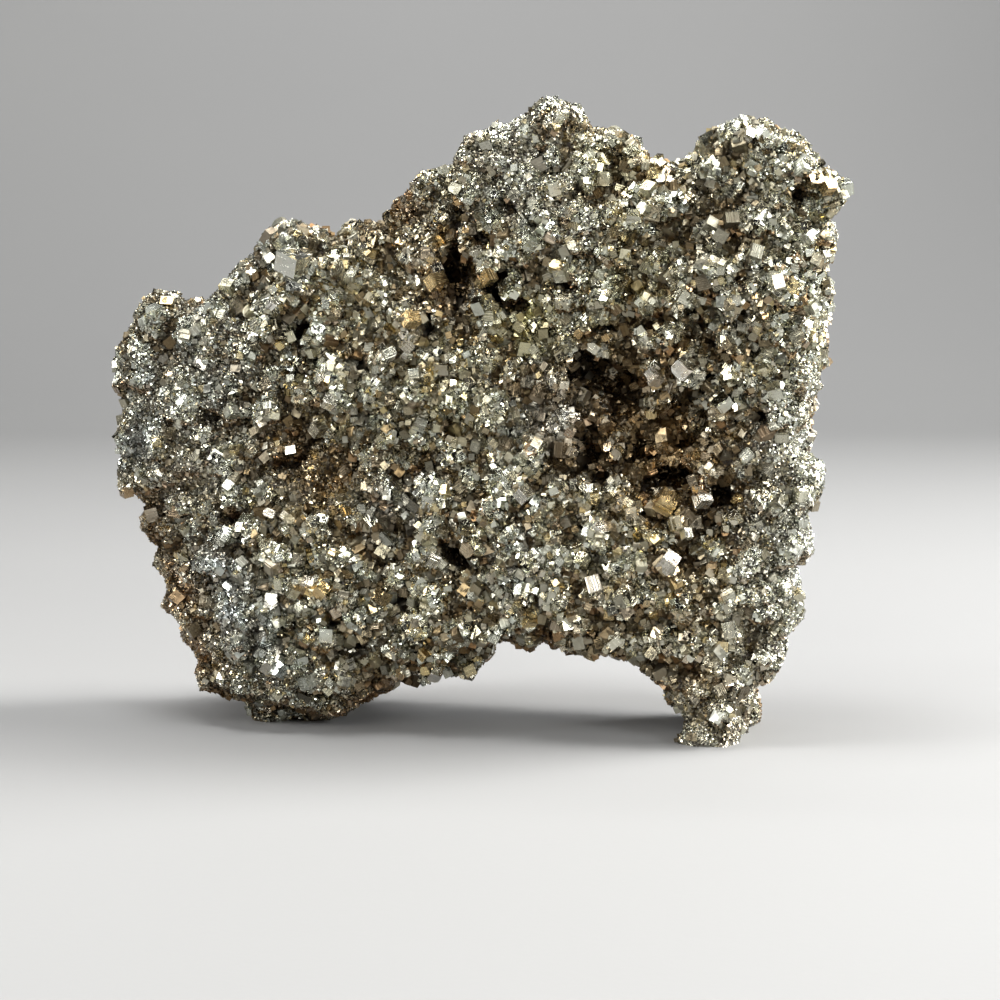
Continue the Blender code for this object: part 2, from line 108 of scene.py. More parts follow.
FACE_STAINS = (
    Stain(21.0, 50.0, 8.0, AMBER, 0.80),
    Stain(18.0, 43.0, 6.0, AMBER, 0.60),
    Stain(32.0, 38.0, 7.0, AMBER, 0.65),
    Stain(29.0, 46.0, 8.0, AMBER, 0.65),
    Stain(36.0, 60.0, 6.0, BROWN, 0.40),
    Stain(-25.0, 42.0, 5.5, AMBER, 0.55),
    Stain(-19.0, 38.0, 5.0, AMBER, 0.60),
    Stain(-13.0, 31.0, 4.5, BROWN, 0.45),
    Stain(-6.0, 69.0, 6.5, AMBER, 0.60),
    Stain(-2.0, 66.0, 4.0, RUST, 0.50),
    Stain(-11.0, 57.0, 4.0, BROWN, 0.40),
    Stain(0.0, 27.0, 4.5, BROWN, 0.45),
    Stain(34.0, 24.0, 5.0, AMBER, 0.40),
    Stain(28.0, 12.0, 5.0, BROWN, 0.35),
    Stain(9.0, 61.0, 4.5, OLIVE, 0.65),
    Stain(21.0, 82.0, 5.0, OLIVE, 0.55),
    Stain(-1.0, 49.0, 5.0, OLIVE, 0.30),
    Stain(24.0, 66.0, 5.0, OLIVE, 0.35),
    Stain(-34.0, 19.0, 5.0, BLUE_GREY, 0.85),
    Stain(-37.5, 25.0, 4.0, BLUE_GREY, 0.75),
    Stain(-30.0, 11.0, 5.0, BLUE_GREY, 0.60),
    Stain(-49.0, 42.0, 5.0, BLUE_GREY, 0.70),
    Stain(-48.0, 52.0, 5.0, BLUE_GREY, 0.45),
    Stain(-36.0, 51.0, 4.0, BLUE_GREY, 0.55),
    Stain(-31.0, 72.0, 5.5, BLUE_GREY, 0.50),
    Stain(-40.0, 60.0, 7.0, BLUE_GREY, 0.40),
    Stain(-9.0, 34.0, 5.0, BLUE_GREY, 0.60),
    Stain(49.0, 44.0, 8.0, SILVER, 0.75),
    Stain(48.0, 27.0, 8.0, SILVER, 0.75),
    Stain(44.0, 12.0, 7.0, SILVER, 0.60),
    Stain(12.0, 80.0, 9.0, SILVER, 0.50),
    Stain(5.0, 88.0, 6.0, SILVER, 0.60),
    Stain(38.0, 6.0, 7.0, SILVER, 0.65),
    Stain(38.0, 73.0, 11.0, DULL_GREY, 0.70),
    Stain(-11.0, 78.0, 4.5, RUST, 0.60),
    Stain(-16.0, 74.0, 4.0, BROWN, 0.50),
    Stain(-40.0, 40.0, 9.0, SILVER, 0.50),
    Stain(12.0, 46.0, 7.0, BLUE_GREY, 0.35),
    Stain(8.0, 25.0, 5.0, BLUE_GREY, 0.35),
    Stain(36.0, 8.0, 8.0, WARM_GOLD, 0.55),
    Stain(20.0, 18.0, 8.0, WARM_GOLD, 0.30),
    Stain(-51.0, 31.0, 4.5, RUST, 0.60),
    Stain(-47.0, 20.0, 6.0, RUST, 0.85),
    Stain(-43.0, 9.0, 6.0, RUST, 0.75),
    Stain(-14.0, 5.0, 5.0, RUST, 0.60),
    Stain(-42.0, 38.0, 3.5, BROWN, 0.45),
)


@dataclass(frozen=True)
class Pit:
    """A dark pit or slit between the lumps of the face.

    Attributes:
        along: Its middle along the slab, in mm.
        up: Its middle above the floor, in mm.
        length: Its longer side, in mm.
        width: Its shorter side, in mm.
        roll: How far the longer side rises to the right, in degrees.
    """

    along: float
    up: float
    length: float
    width: float
    roll: float


PITS = (
    Pit(23.0, 51.0, 5.5, 2.8, -60.0),
    Pit(-1.5, 67.5, 9.0, 2.6, 90.0),
    Pit(6.0, 65.0, 5.9, 3.2, -50.0),
    Pit(29.5, 38.5, 7.5, 2.7, 10.0),
    Pit(17.5, 42.5, 5.5, 2.9, 60.0),
    Pit(24.0, 43.0, 6.2, 3.0, 50.0),
    Pit(18.5, 54.5, 5.0, 3.3, 60.0),
    Pit(34.0, 34.5, 6.1, 2.6, -50.0),
    Pit(33.5, 61.5, 3.2, 1.9, -60.0),
    Pit(-23.5, 43.0, 4.2, 2.0, 60.0),
    Pit(-1.0, 27.0, 5.0, 1.9, -40.0),
    Pit(36.5, 57.5, 3.4, 1.8, -40.0),
    Pit(27.5, 34.5, 2.8, 2.0, 70.0),
    Pit(41.5, 61.5, 3.3, 1.9, -30.0),
    Pit(31.5, 44.5, 3.0, 1.8, 10.0),
    Pit(-26.5, 40.5, 3.6, 1.8, 20.0),
    Pit(-38.0, 46.0, 3.8, 1.7, -30.0),
    Pit(37.0, 37.0, 3.8, 1.6, -50.0),
    Pit(-4.5, 60.5, 2.8, 2.0, 80.0),
    Pit(-9.0, 20.0, 3.0, 1.9, -60.0),
    Pit(-15.5, 54.5, 3.5, 1.6, -20.0),
    Pit(27.0, 42.0, 2.6, 1.8, -10.0),
    Pit(6.5, 77.5, 3.0, 1.6, -60.0),
    Pit(15.0, 66.0, 3.6, 1.5, -20.0),
    Pit(-22.0, 72.0, 2.4, 1.8, -30.0),
    Pit(-2.0, 75.5, 2.4, 1.6, 90.0),
    Pit(20.5, 59.5, 3.4, 1.5, -10.0),
    Pit(42.5, 47.5, 2.5, 1.6, 0.0),
    Pit(20.0, 39.0, 2.4, 1.6, 50.0),
    Pit(28.0, 11.0, 2.6, 1.5, -50.0),
    Pit(-15.5, 12.5, 2.6, 1.5, -20.0),
    Pit(2.5, 72.5, 2.2, 1.4, -40.0),
    Pit(-18.5, 16.5, 2.0, 1.4, -30.0),
    Pit(36.5, 31.5, 2.0, 1.3, -50.0),
    Pit(40.5, 67.5, 1.9, 1.5, -70.0),
    Pit(-35.0, 32.0, 2.8, 1.5, 20.0),
    Pit(35.0, 53.0, 2.0, 1.3, -30.0),
    Pit(-39.5, 22.5, 1.9, 1.4, -20.0),
    Pit(48.5, 78.5, 1.9, 1.4, 90.0),
    Pit(-24.0, 59.5, 2.4, 1.5, 60.0),
    Pit(-17.0, 40.0, 2.2, 1.4, -20.0),
    Pit(11.0, 21.0, 2.0, 1.6, -70.0),
)

# Where the face's crystals are coarse, as (along, up, reach, how coarse); below 0 they are all sugary
COARSE_PATCHES = (
    (14.0, 32.0, 17.0, 0.9),
    (27.0, 24.0, 12.0, 0.7),
    (32.0, 55.0, 11.0, 0.9),
    (44.0, 68.0, 9.0, 0.7),
    (-24.0, 67.0, 8.0, 0.9),
    (-7.0, 60.0, 9.0, 0.9),
    (-22.0, 22.0, 9.0, 0.6),
    (-5.0, 12.0, 7.0, 0.8),
    (4.0, 68.0, 7.0, 0.5),
    (-18.0, 50.0, 8.0, 0.5),
    (30.0, 82.0, 9.0, 0.5),
    (51.0, 44.0, 7.0, -1.0),
    (50.0, 27.0, 8.0, -1.0),
    (-52.0, 45.0, 8.0, -1.0),
    (-47.0, 16.0, 9.0, -1.0),
    (3.0, 90.0, 8.0, -1.0),
)
COARSE_DRIFT = 0.25  # how much chance has a say in that
COARSE_BLOTCH = 6.0 * MM  # and the size of its blotches


def slab_places(points: np.ndarray) -> tuple[np.ndarray, np.ndarray, np.ndarray]:
    """Turn places of the cluster into the slab's own millimetres.

    Args:
        points: Places in metres, a row for each.

    Returns:
        Distances along the slab, through it and up, in mm.
    """
    flat = points - np.array((*SLAB_MIDDLE, 0.0))
    return flat @ ALONG / MM, flat @ THROUGH / MM, points[:, 2] / MM


def faded(along: np.ndarray, up: np.ndarray, middle: tuple[float, float], reach: float) -> np.ndarray:
    """Say how much of a round patch is left at each place.

    Args:
        along: Distances along the slab, in mm.
        up: Heights, in mm.
        middle: Middle of the patch.
        reach: Distance at which it has faded to about a third, in mm.

    Returns:
        Shares from 1 in the middle to 0 far away.
    """
    return np.exp(-((along - middle[0]) ** 2 + (up - middle[1]) ** 2) / reach**2)


def smooth_step(values: np.ndarray, low: float, high: float) -> np.ndarray:
    """Rise smoothly from 0 at low to 1 at high, or fall where low is the greater."""
    share = np.clip((values - low) / (high - low), 0.0, 1.0)
    return share * share * (3.0 - 2.0 * share)


def drifting(points: np.ndarray, size: float) -> np.ndarray:
    """Read smooth noise at each place.

    Args:
        points: Places in metres.
        size: Size of its blotches, in metres.

    Returns:
        Values from about -1 to 1.
    """
    return np.array([noise.noise(Vector(point) / size) for point in points])


def coarseness(points: np.ndarray) -> np.ndarray:
    """Say how coarse the crystals are.

    Args:
        points: Places in metres.

    Returns:
        Values from 0, all sugary, to 1.
    """
    along, _, up = slab_places(points)
    coarse = sum(share * faded(along, up, (x, z), reach) for x, z, reach, share in COARSE_PATCHES)
    return np.clip(coarse + COARSE_DRIFT * drifting(points, COARSE_BLOTCH), 0.0, 1.0)


def random_turns(count: int, rng: np.random.Generator) -> np.ndarray:
    """Make turns that point every way evenly.

    Args:
        count: How many.
        rng: The source of chance.

    Returns:
        An array of 3 by 3 matrices.
    """
    w, x, y, z = unit(rng.normal(size=(count, 4))).T
    rows = (
        (1 - 2 * (y * y + z * z), 2 * (x * y - z * w), 2 * (x * z + y * w)),
        (2 * (x * y + z * w), 1 - 2 * (x * x + z * z), 2 * (y * z - x * w)),
        (2 * (x * z - y * w), 2 * (y * z + x * w), 1 - 2 * (x * x + y * y)),
    )
    return np.moveaxis(np.array(rows), -1, 0)


def unit(vectors: np.ndarray) -> np.ndarray:
    """Scale each row to a length of one."""
    return vectors / (np.linalg.norm(vectors, axis=1, keepdims=True) + 1e-12)


def corner_turns(outward: np.ndarray, tilt: float, rng: np.random.Generator) -> np.ndarray:
    """Make turns that point a cube's corner outward, leaning this way and that.

    Args:
        outward: Unit vectors away from the skin.
        tilt: How far the corners lean, as the tangent of an angle.
        rng: The source of chance.

    Returns:
        Matrices whose columns are the three edges that leave the corner, which lies outermost.
    """
    up = unit(outward + tilt * rng.uniform(-1.0, 1.0, size=outward.shape))
    side = unit(np.cross(up, unit(rng.normal(size=up.shape))))
    other = np.cross(up, side)
    columns = []
    for third in range(3):
        angle = 2.0 * math.pi * third / 3.0
        flat = math.cos(angle) * side + math.sin(angle) * other
        columns.append(flat * math.sqrt(2.0 / 3.0) - up * math.sqrt(1.0 / 3.0))
    return np.stack(columns, axis=2)


def thinned(points: np.ndarray, spacing: np.ndarray) -> np.ndarray:
    """Keep places that aren't crowded by an earlier one.

    Args:
        points: Places in metres.
        spacing: Room that each one wants round it.

    Returns:
        Numbers of the places that stay.
    """
    filled: dict[tuple[int, int, int], list[tuple[float, float, float]]] = {}
    kept = []
    cells = np.floor(points / float(spacing.max())).astype(int).tolist()
    steps = list(product((-1, 0, 1), repeat=3))
    for i, ((x, y, z), (cx, cy, cz), room) in enumerate(zip(points.tolist(), cells, spacing.tolist())):
        near = (other for dx, dy, dz in steps for other in filled.get((cx + dx, cy + dy, cz + dz), ()))
        least = room**2
        if not any((a - x) ** 2 + (b - y) ** 2 + (c - z) ** 2 < least for a, b, c in near):
            filled.setdefault((cx, cy, cz), []).append((x, y, z))
            kept.append(i)
    return np.array(kept)


def split(
    points: np.ndarray, extra: np.ndarray, corners: np.ndarray, held: np.ndarray
) -> tuple[np.ndarray, np.ndarray, np.ndarray, np.ndarray]:
    """Split every triangle in four at the middles of its edges.

    Args:
        points: Places of the corners.
        extra: Other vectors that the corners carry.
        corners: Corner numbers of the triangles.
        held: Which corners stay where they are.

    Returns:
        The same four, for the smaller triangles.
    """
    sides = np.sort(np.stack([corners, np.roll(corners, -1, axis=1)], axis=2).reshape(-1, 2), axis=1)
    edges, which = np.unique(sides, axis=0, return_inverse=True)
    middle = which.reshape(-1, 3) + len(points)
    a, b, c = corners.T
    ab, bc, ca = middle.T
    four = ((a, ab, ca), (ab, b, bc), (ca, bc, c), (ab, bc, ca))
    return (
        np.concatenate([points, points[edges].mean(axis=1)]),
        np.concatenate([extra, extra[edges].mean(axis=1)]),
        np.concatenate([np.stack(smaller, axis=1) for smaller in four]),
        np.concatenate([held, held[edges].all(axis=1)]),
    )


@dataclass
class Relief:
    """The lumps, from nodules down to bumps, and the pits that the skin between the large cubes has.

    Attributes:
        nodule_spacing: Least and most distance between the middles of nodules, in mm.
        nodule_height: Height of a nodule over the valleys round it, in mm.
        bump_spacing: The same distance for the bumps on them, in mm.
        bump_height: Height of a bump, in mm.
        settled: How far the valleys lie under the solid's skin, in mm.
        pit_depth: Depth of a pit, in mm.
        hold: How far from a large cube the skin starts to move, in mm.
        rim: Share of the lumps' height that the slab's narrow rims have.
        warp: How far the lumps are pulled out of round, as a share of their size.
        cap: Radius of a lump, as a share of the room that it keeps.
        flatness: Power that flattens a lump's top, the lower the flatter.
        crease: Width of the crease between two lumps, as a share of the most distance.
        crease_floor: Share of a lump's height that is left in the crease.
        lowest: Height of the lowest lumps, as a share of the highest.
        pit_wall: Where a pit's wall starts and where it ends, from its middle, as shares of its radius.
        behind: How far through the slab the pits reach, in mm.
        calm: Share of their height that lumps lose where the crystals are coarse.
        recess: How much lower the skin lies where the lumps lose all their height, in mm.
    """

    nodule_spacing: tuple[float, float] = (4.2, 9.0)
    nodule_height: float = 2.1
    bump_spacing: tuple[float, float] = (1.4, 2.5)
    bump_height: float = 0.45
    settled: float = 1.8
    pit_depth: float = 4.0
    hold: float = 1.3
    rim: float = 0.25
    warp: float = 0.6
    cap: float = 0.62
    flatness: float = 0.38
    crease: float = 0.28
    crease_floor: float = 0.45
    lowest: float = 0.4
    pit_wall: tuple[float, float] = (1.5, 0.75)
    behind: float = 4.0
    calm: float = 0.45
    recess: float = 0.35

    def lumps(self, points: np.ndarray, spacing: tuple[float, float], seed: int) -> np.ndarray:
        """Lay rounded lumps side by side over the skin.

        Args:
            points: Places on the skin.
            spacing: Least and most distance between their middles, in mm.
            seed: Start of the source of chance.

        Returns:
            Heights from 0 in the valleys to 1 on the tops.
        """
        rng = np.random.default_rng(seed)
        reach = self.warp * spacing[1]
        pull = [drifting(points + shift * MM, reach * MM) for shift in (0.0, 40.0, 80.0)]
        points = points + 0.5 * reach * MM * np.stack(pull, axis=1)
        order = rng.permutation(len(points))
        rooms = (spacing[0] + (spacing[1] - spacing[0]) * rng.random(len(points)) ** 2) * MM
        kept = order[thinned(points[order], rooms[order])]
        tree = KDTree(len(kept))
        for i, number in enumerate(kept):
            tree.insert(points[number], i)
        tree.balance()
        found = [tree.find_n(point, 2) for point in points]
        nearest = np.array([two[0][1] for two in found])
        near, next_one = np.array([[one[2] for one in two] for two in found]).T
        caps = np.clip(1.0 - (near / (self.cap * rooms[kept][nearest])) ** 2, 0.0, 1.0) ** self.flatness
        creases = smooth_step(next_one - near, 0.0, self.crease * spacing[1] * MM)
        left = self.crease_floor + (1.0 - self.crease_floor) * creases
        return caps * left * rng.uniform(self.lowest, 1.0, len(kept))[nearest]

    def pits(self, points: np.ndarray) -> np.ndarray:
        """Say how deep in a pit each place is, from 0 to 1.

        Args:
            points: Places on the skin.

        Returns:
            The depths.
        """
        along, through, up = slab_places(points)
        depth = np.zeros(len(points))
        for pit in PITS:
            cos, sin = math.cos(math.radians(pit.roll)), math.sin(math.radians(pit.roll))
            x, z = along - pit.along, up - pit.up
            far = np.hypot((x * cos + z * sin) / pit.length, (z * cos - x * sin) / pit.width) * 2.0
            depth = np.maximum(depth, smooth_step(far, *self.pit_wall) * (through < self.behind))
        return depth

    def shape(
        self, points: np.ndarray, outward: np.ndarray, held: np.ndarray
    ) -> tuple[np.ndarray, np.ndarray]:
        """Raise the lumps and sink the valleys and pits.

        Args:
            points: Places on the skin.
            outward: Unit vectors away from it.
            held: Which places stay where they are.

        Returns:
            The new places, and how high on a lump each one is, from -1 in a pit to 1.
        """
        nodules = self.lumps(points, self.nodule_spacing, 41)
        bumps = self.lumps(points, self.bump_spacing, 42)
        pits = self.pits(points)
        tree = KDTree(int(held.sum()))
        for i, place in enumerate(points[held]):
            tree.insert(place, i)
        tree.balance()
        away = np.array([tree.find(point)[2] for point in points]) / (self.hold * MM)
        broad = self.rim + (1.0 - self.rim) * smooth_step(np.abs(outward @ THROUGH), 0.3, 0.85)
        broad *= 1.0 - self.calm * coarseness(points)
        height = self.nodule_height * nodules + self.bump_height * bumps - self.settled
        height = height * broad + self.recess * (broad - 1.0)
        moved = (height * (1.0 - pits) - self.pit_depth * pits) * np.clip(away, 0.0, 1.0) * MM
        shaped = points + outward * moved[:, None]
        shaped[:, 2] = np.maximum(shaped[:, 2], np.minimum(points[:, 2], 0.3 * MM))
        return shaped, nodules * 0.85 + bumps * 0.15 - 1.5 * pits


@dataclass
class Skin:
    """The cluster's surface: the solid's large cubes as they are, and the lumpy ground between them.

    Attributes:
        corners: Corner numbers of the triangles.
        points: Places of the corners, each stored once.
        normals: Outward unit vectors of the triangles.
        areas: Their areas in square metres.
        cube: For each triangle, the number of the large cube it belongs to, or -1.
        height: For each triangle, how high on a lump it is, from -1 in a pit to 1.
        openness: For each triangle, the share of the sky that it sees.
        splits: How often the solid's triangles are split.
        flush: Least cosine between the normals of triangles that lie in one face of a cube.
        square: Greatest cosine between those of two faces that meet at a right angle.
        least_cube: Area that a large cube shows at least, in square mm.
    """

    corners: np.ndarray = field(init=False)
    points: np.ndarray = field(init=False)
    normals: np.ndarray = field(init=False)
    areas: np.ndarray = field(init=False)
    cube: np.ndarray = field(init=False)
    height: np.ndarray = field(init=False)
    openness: np.ndarray = field(init=False)
    splits: int = 2
    flush: float = 0.9999
    square: float = 0.004
    least_cube: float = 1.6

    def __post_init__(self) -> None:
        """Read the solid, shape the ground and work out everything else."""
        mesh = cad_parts[NODE].data
        mesh.calc_loop_triangles()
        corners = np.empty(len(mesh.loop_triangles) * 3, np.int32)
        mesh.loop_triangles.foreach_get("vertices", corners)
        points = np.empty(len(mesh.vertices) * 3, np.float32)
        mesh.vertices.foreach_get("co", points)
        points = points.reshape(-1, 3).astype(float)
        _, first, welded = np.unique(
            np.round(points / (0.001 * MM)).astype(np.int64), axis=0, return_index=True, return_inverse=True
        )
        self.points = points[first]
        self.corners = welded.reshape(-1)[corners].reshape(-1, 3)
        self.measure()
        self.cube = self.find_cubes()
        self.shape_ground()
        self.measure()
        self.openness = self.look_out()

    def measure(self) -> None:
        """Work out the triangles' normals and areas, and drop those without an area."""
        a, b, c = (self.points[self.corners[:, i]] for i in range(3))
        crossed = np.cross(b - a, c - a)
        kept = np.linalg.norm(crossed, axis=1) > 1e-12
        self.corners, crossed = self.corners[kept], crossed[kept]
        self.areas = np.linalg.norm(crossed, axis=1) / 2.0
        self.normals = unit(crossed)
        if hasattr(self, "cube"):
            self.cube, self.height = self.cube[kept], self.height[kept]

    def shape_ground(self) -> None:
        """Split the triangles between the large cubes and shape them."""
        ground, cubes = self.corners[self.cube < 0], self.corners[self.cube >= 0]
        outward = np.zeros_like(self.points)
        for corner in self.corners[self.cube < 0].T:
            np.add.at(outward, corner, (self.normals * self.areas[:, None])[self.cube < 0])
        outward = unit(outward)
        held = np.zeros(len(self.points), bool)
        held[cubes.ravel()] = True
        held |= self.points[:, 2] < 0.05 * MM
        points = self.points
        for _ in range(self.splits):
            points, outward, ground, held = split(points, outward, ground, held)
        used = np.unique(ground)
        height = np.zeros(len(points))
        shaped, height[used] = Relief().shape(points[used], unit(outward[used]), held[used])
        points = points.copy()
        points[used] = shaped
        self.points = points
        self.corners = np.concatenate([ground, cubes])
        self.height = np.concatenate([height[ground].mean(axis=1), np.full(len(cubes), 0.6)])
        self.cube = np.concatenate([np.full(len(ground), -1), self.cube[self.cube >= 0]])

    @property
    def middles(self) -> np.ndarray:
        """The middle of each triangle."""
        return self.points[self.corners].mean(axis=1)

    def find_cubes(self) -> np.ndarray:
        """Find the large cubes: flat faces that meet others at a right angle.

        Returns:
            The number of its cube for each triangle, and -1 off the cubes.
        """
        beside: dict[tuple[int, int], list[int]] = {}
        for i, triangle in enumerate(self.corners.tolist()):
            for j in range(3):
                beside.setdefault(tuple(sorted((triangle[j], triangle[j - 1]))), []).append(i)
        pairs = np.array([faces for faces in beside.values() if len(faces) == 2])
        middles = self.middles
        one, other = pairs.T
        dots = np.einsum("ij,ij->i", self.normals[one], self.normals[other])
        apart = np.einsum("ij,ij->i", self.normals[one], middles[other] - middles[one])
        flush = pairs[dots > self.flush]
        square = pairs[(np.abs(dots) < self.square) & (apart < 0)]
        group = np.arange(len(self.corners))
        for joined in (flush, np.concatenate([flush, square])):
            changed = True
            while changed:
                least = np.minimum(group[joined[:, 0]], group[joined[:, 1]])
                before = group.copy()
                np.minimum.at(group, joined[:, 0], least)
                np.minimum.at(group, joined[:, 1], least)
                changed = bool((group != before).any())
        on_cube = np.zeros(len(group), bool)
        on_cube[square.ravel()] = True
        of_cube = np.isin(group, np.unique(group[on_cube]))
        area = np.bincount(group, weights=self.areas, minlength=len(group))
        large = area[group] > self.least_cube * MM * MM
        return np.where(of_cube & large, group, -1)

    def look_out(self, rays: int = 22, far: float = 14.0 * MM) -> np.ndarray:
        """Find how much each triangle sees of what is around the cluster.

        Args:
            rays: How many ways each of its corners looks.
            far: How far away something still hides the rest.

        Returns:
            Shares from 0, in the bottom of a pit, to 1.
        """
        tree = BVHTree.FromPolygons(self.points.tolist(), self.corners.tolist())
        ways = unit(np.random.default_rng(5).normal(size=(rays, 3)))
        outward = np.zeros_like(self.points)
        for corner in self.corners.T:
            np.add.at(outward, corner, self.normals * self.areas[:, None])
        outward = unit(outward)
        seen = np.ones(len(self.points))
        for i in np.unique(self.corners).tolist():
            start = Vector(self.points[i] + outward[i] * 0.15 * MM)
            aims = (ways + outward[i] * 1.05).tolist()
            hidden = sum(tree.ray_cast(start, Vector(aim), far)[0] is not None for aim in aims)
            seen[i] = 1.0 - hidden / rays
        return seen[self.corners].mean(axis=1)

    def scatter(
        self, weights: np.ndarray, count: int, rng: np.random.Generator
    ) -> tuple[np.ndarray, np.ndarray]:
        """Pick places on the skin.

        Args:
            weights: Crystals wanted on each triangle, in proportion to its area.
            count: How many places.
            rng: The source of chance.

        Returns:
            The places, and the number of the triangle that each is on.
        """
        chances = weights * self.areas
        chosen = rng.choice(len(chances), size=count, p=chances / chances.sum())
        r1, r2 = np.sqrt(rng.random(count)), rng.random(count)
        shares = np.stack([1.0 - r1, r1 * (1.0 - r2), r1 * r2], axis=1)
        return np.einsum("ij,ijk->ik", shares, self.points[self.corners[chosen]]), chosen


@dataclass(frozen=True)
class Form:
    """A crystal of edge one round the origin.

    Attributes:
        points: Its corners.
        faces: Corner numbers of each face, anticlockwise from outside.
    """

    points: np.ndarray
    faces: tuple[tuple[int, ...], ...]

    @property
    def triangles(self) -> int:
        """How many triangles it takes."""
        return sum(len(face) - 2 for face in self.faces)

    def face_places(self) -> np.ndarray:
        """Say where each face's corners lie in its plane; striae on neighbours then cross at right angles.

        Returns:
            Two coordinates for each corner of each face, one face after another.
        """
        places = []
        for face in self.faces:
            corners = self.points[list(face)]
            normal = np.cross(corners[1] - corners[0], corners[2] - corners[0])
            k = int(np.argmax(np.abs(normal)))
            places.append(corners[:, [(k + 1) % 3, (k + 2) % 3]] + 0.5)
        return np.concatenate(places)


def box_form(size: tuple[float, float, float], middle: tuple[float, float, float] = (0, 0, 0)) -> Form:
    """Make a box.

    Args:
        size: Its three sides.
        middle: Where its middle is.

    Returns:
        The form.
    """
    signs = np.array([(x, y, z) for x in (-0.5, 0.5) for y in (-0.5, 0.5) for z in (-0.5, 0.5)])
    faces = ((0, 1, 3, 2), (4, 6, 7, 5), (0, 4, 5, 1), (2, 3, 7, 6), (0, 2, 6, 4), (1, 5, 7, 3))
    return Form(signs * np.array(size) + np.array(middle), faces)


def joined_forms(*forms: Form) -> Form:
    """Make one form of several that run into each other.

    Args:
        *forms: The forms to join.

    Returns:
        The form.
    """
    points, faces, start = [], [], 0
    for form in forms:
        points.append(form.points)
        faces += [tuple(corner + start for corner in face) for face in form.faces]
        start += len(form.points)
    return Form(np.concatenate(points), tuple(faces))


def truncated_form(cut: float = 0.2) -> Form:
    """Make a cube with its eight corners cut off.

    Args:
        cut: Share of the edge that each cut takes.

    Returns:
        The form.
    """
    points, index = [], {}
    for x in (-1, 1):
        for y in (-1, 1):
            for z in (-1, 1):
                for axis in range(3):
                    place = np.array((x, y, z)) * 0.5
                    place[axis] *= 1.0 - 2.0 * cut
                    index[(x, y, z, axis)] = len(points)
                    points.append(place)
    points = np.array(points)
    faces = []
    for axis in range(3):
        for sign in (-1, 1):
            on = [i for i, p in enumerate(points) if abs(p[axis] - 0.5 * sign) < 1e-9]
            b, c = (axis + 1) % 3, (axis + 2) % 3
            on.sort(key=lambda i: math.atan2(points[i][c], points[i][b]) * sign)
            faces.append(tuple(on))
    for x in (-1, 1):
        for y in (-1, 1):
            for z in (-1, 1):
                three = [index[(x, y, z, axis)] for axis in range(3)]
                faces.append(tuple(three if x * y * z > 0 else three[::-1]))
    return Form(points, tuple(faces))


def stepped_form() -> Form:
    """Make a cube with a low growth step on each of its faces."""
    return joined_forms(box_form((1.0, 0.78, 0.8)), box_form((0.8, 1.0, 0.74)), box_form((0.84, 0.86, 1.0)))


def twin_form() -> Form:
    """Make two cubes grown through each other.

    Returns:
        The form.
    """
    cos, sin = math.cos(math.radians(38.0)), math.sin(math.radians(38.0))
    turn = np.array(((cos, -sin, 0), (sin, cos, 0), (0, 0, 1)))
    second = box_form((0.72, 0.72, 0.8), (0.22, 0.12, 0.16))
    return joined_forms(box_form((0.95, 0.9, 0.9)), Form(second.points @ turn.T, second.faces))


def corner_form() -> Form:
    """Make the corner of a cube: three square-cut faces that meet at its tip, closed underneath."""
    points = np.array(((0, 0, 0), (1, 0, 0), (0, 1, 0), (0, 0, 1)), float)
    return Form(points, ((0, 2, 1), (0, 3, 2), (0, 1, 3), (1, 2, 3)))


FORMS = {
    Habit.CORNER: corner_form(),
    Habit.CUBE: box_form((1.0, 1.0, 1.0)),
    Habit.TRUNCATED: truncated_form(),
    Habit.STEPPED: stepped_form(),
    Habit.TWIN: twin_form(),
}


@dataclass(frozen=True)
class Palette:
    """The colours that the crystals of one zone take, each with its share.

    Attributes:
        colours: Metal colours.
        shares: How common each one is.
        polish: Lowest and highest roughness.
    """

    colours: tuple[tuple[float, float, float], ...]
    shares: tuple[float, ...]
    polish: tuple[float, float]


PALETTES = {
    Zone.FACE: Palette(
        (
            (0.55, 0.57, 0.49),
            (0.56, 0.54, 0.40),
            (0.65, 0.54, 0.28),
            (0.265, 0.255, 0.19),
            (0.30, 0.235, 0.13),
        ),
        (0.42, 0.27, 0.05, 0.16, 0.10),
        (0.04, 0.26),
    ),
    Zone.BACK: Palette(
        (
            (0.46, 0.42, 0.34),
            (0.50, 0.43, 0.30),
            (0.34, 0.25, 0.14),
            (0.26, 0.24, 0.20),
            (0.52, 0.50, 0.44),
        ),
        (0.30, 0.24, 0.18, 0.16, 0.12),
        (0.26, 0.52),
    ),
}


